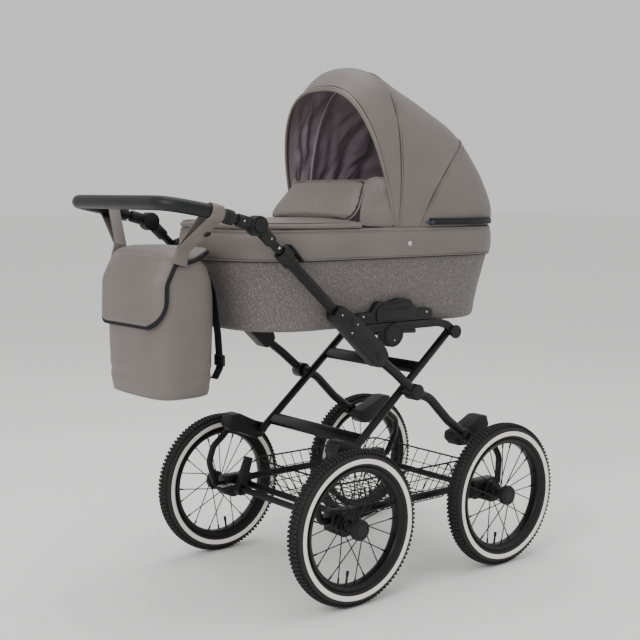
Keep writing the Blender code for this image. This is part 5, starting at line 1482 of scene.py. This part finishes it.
def flap_reach(run):
    """How far the flap reaches across at a run: round lower corners, narrower at the hinge."""
    reach = FLAP_HALF - 0.030 * max(0.0, 1 - run / 0.06) ** 1.5
    left = FLAP_RUN - run
    if left < 0.052:
        reach -= 0.052 - math.sqrt(max(0.0, 0.052**2 - (0.052 - left) ** 2))
    return reach


runs = [FLAP_RUN * (1 - ((60 - i) / 60) ** 1.35) for i in range(61)]
shell = []
for run in runs:
    reach = flap_reach(run)
    shell.append([flap_surface(run, -reach * math.cos(math.pi * c / 56)) for c in range(57)])
flap = skin("flap", shell, hide, loop=False)
body = bmesh.new()
body.from_mesh(flap.data)
bmesh.ops.remove_doubles(body, verts=body.verts, dist=2e-5)
body.to_mesh(flap.data)
body.free()
uneven(flap, 0.0011, 0.05, (1, 1, 1), 15)
thick = flap.modifiers.new("padding", "SOLIDIFY")
thick.thickness = 0.0046
thick.offset = 0
applied(flap)
smoothed(flap, 70)
hem = [flap_surface(run, flap_reach(run), 0.0) for run in runs]
hem += [Vector((p.x, -p.y, p.z)) for p in reversed(hem[:-1])]
roll = wire("roll", [hem], 0.0024, hide, 10)


def hem_offset(out, lift):
    line = []
    for run in runs:
        reach = flap_reach(run)
        step = max(0.0, (run - FLAP_RUN + 0.052) / 0.052)
        line.append(flap_surface(min(FLAP_RUN, run), reach + out * (1 - step * 0.6), lift)
                    + Vector((0, 0, -out * step)))
    return line + [Vector((p.x, -p.y, p.z)) for p in reversed(line[:-1])]


flap = merged("bag_flap_leatherette", [flap, roll])
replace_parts(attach(flap, "bag_lid"), "bag_flap")
# Zip under the flap's edge
zip_line = hem_offset(0.0052, -0.0026)
bag_zip = merged(
    "bag_zip",
    [wire("tape", [zip_line], 0.0050, tape, 10),
     stitched("teeth", [hem_offset(0.0074, 0.0020)], teeth, 0.0026, 0.0012, 0.0010)],
)
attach(bag_zip, "bag")

# Bag straps.
# Folded leatherette straps loop over the grip. A dark press stud joins each pair of layers; on
# the bag's pram side are two webbing shoulder straps with ladder-lock buckles.
webbing, tree, shader = new_material("black_webbing", "121113", 0.75)
place = node(tree, "ShaderNodeTexCoord").outputs["Object"]
rib = node(tree, "ShaderNodeTexWave", {"Vector": place, "Scale": 1 / 0.0024}, bands_direction="DIAGONAL")
bumped(tree, shader, rib.outputs["Fac"], 0.5, 0.0004)
dark_stud = new_material("gunmetal_stud", "2a2724", 0.32, 0.8)[0]
strap_pivot = at_joint("strap_swing")
for side_name, side in (("left", 1), ("right", -1)):
    loop_strap = dressed(f"{side_name}_bag_strap", hide, edge=0.0009, angle=30)
    stud = turned(
        "stud",
        [(0.0001, 0.0030), (0.0030, 0.0028), (0.0036, 0.0016), (0.0044, 0.0016), (0.0062, 0.0024),
         (0.0074, 0.0012),
         (0.0076, -0.001)],
        28,
        dark_stud,
    )
    outside = BVHTree.FromPolygons(
        [vertex.co for vertex in loop_strap.data.vertices],
        [face.vertices for face in loop_strap.data.polygons]
    )
    beside = Vector((strap_pivot.x, side * 0.20, bag_high.z + 0.0150))
    spot, facing_way, _, _ = outside.find_nearest(beside)
    stud.data.transform(Vector((0, 1, 0)).rotation_difference(facing_way).to_matrix().to_4x4())
    stud.data.transform(Matrix.Translation(spot))
    stud.name = f"{side_name}_strap_stud"
    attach(stud, "straps")
    path = filleted(
        [
            (bag_high.x - 0.012, side * 0.078, 0.735), (bag_high.x + 0.0035, side * 0.082, 0.690),
            (bag_high.x + 0.0125, side * 0.088, 0.600), (bag_high.x + 0.0150, side * 0.092, 0.530),
            (bag_high.x - 0.0020, side * 0.094, 0.505), (bag_high.x - 0.0110, side * 0.094, 0.512),
        ],
        0.02,
        5,
    )
    half = 0.0125
    rings = [
        [p + Vector((dx, dy, 0))
         for dx, dy in ((-0.0008, -half), (0.0008, -half), (0.0008, half), (-0.0008, half))]
        for p in path
    ]
    strap = smoothed(skin("strap", rings, webbing, caps=(True, True)), 50)
    buckle = [
        block("bar", (-0.0035, -0.0165, dz - 0.0022), (0.0035, 0.0165, dz + 0.0022), 0.0012, nylon)
        for dz in (-0.010, 0.0, 0.010)
    ]
    buckle += [
        block("side", (-0.0030, dy - 0.0022, -0.0115), (0.0030, dy + 0.0022, 0.0115), 0.0012, nylon)
        for dy in (-0.0155, 0.0155)
    ]
    buckle = merged("buckle", buckle)
    buckle.data.transform(Matrix.Translation((bag_high.x + 0.0145, side * 0.0915, 0.545)))
    web = merged(f"{side_name}_shoulder_strap", [strap, buckle])
    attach(web, "bag")
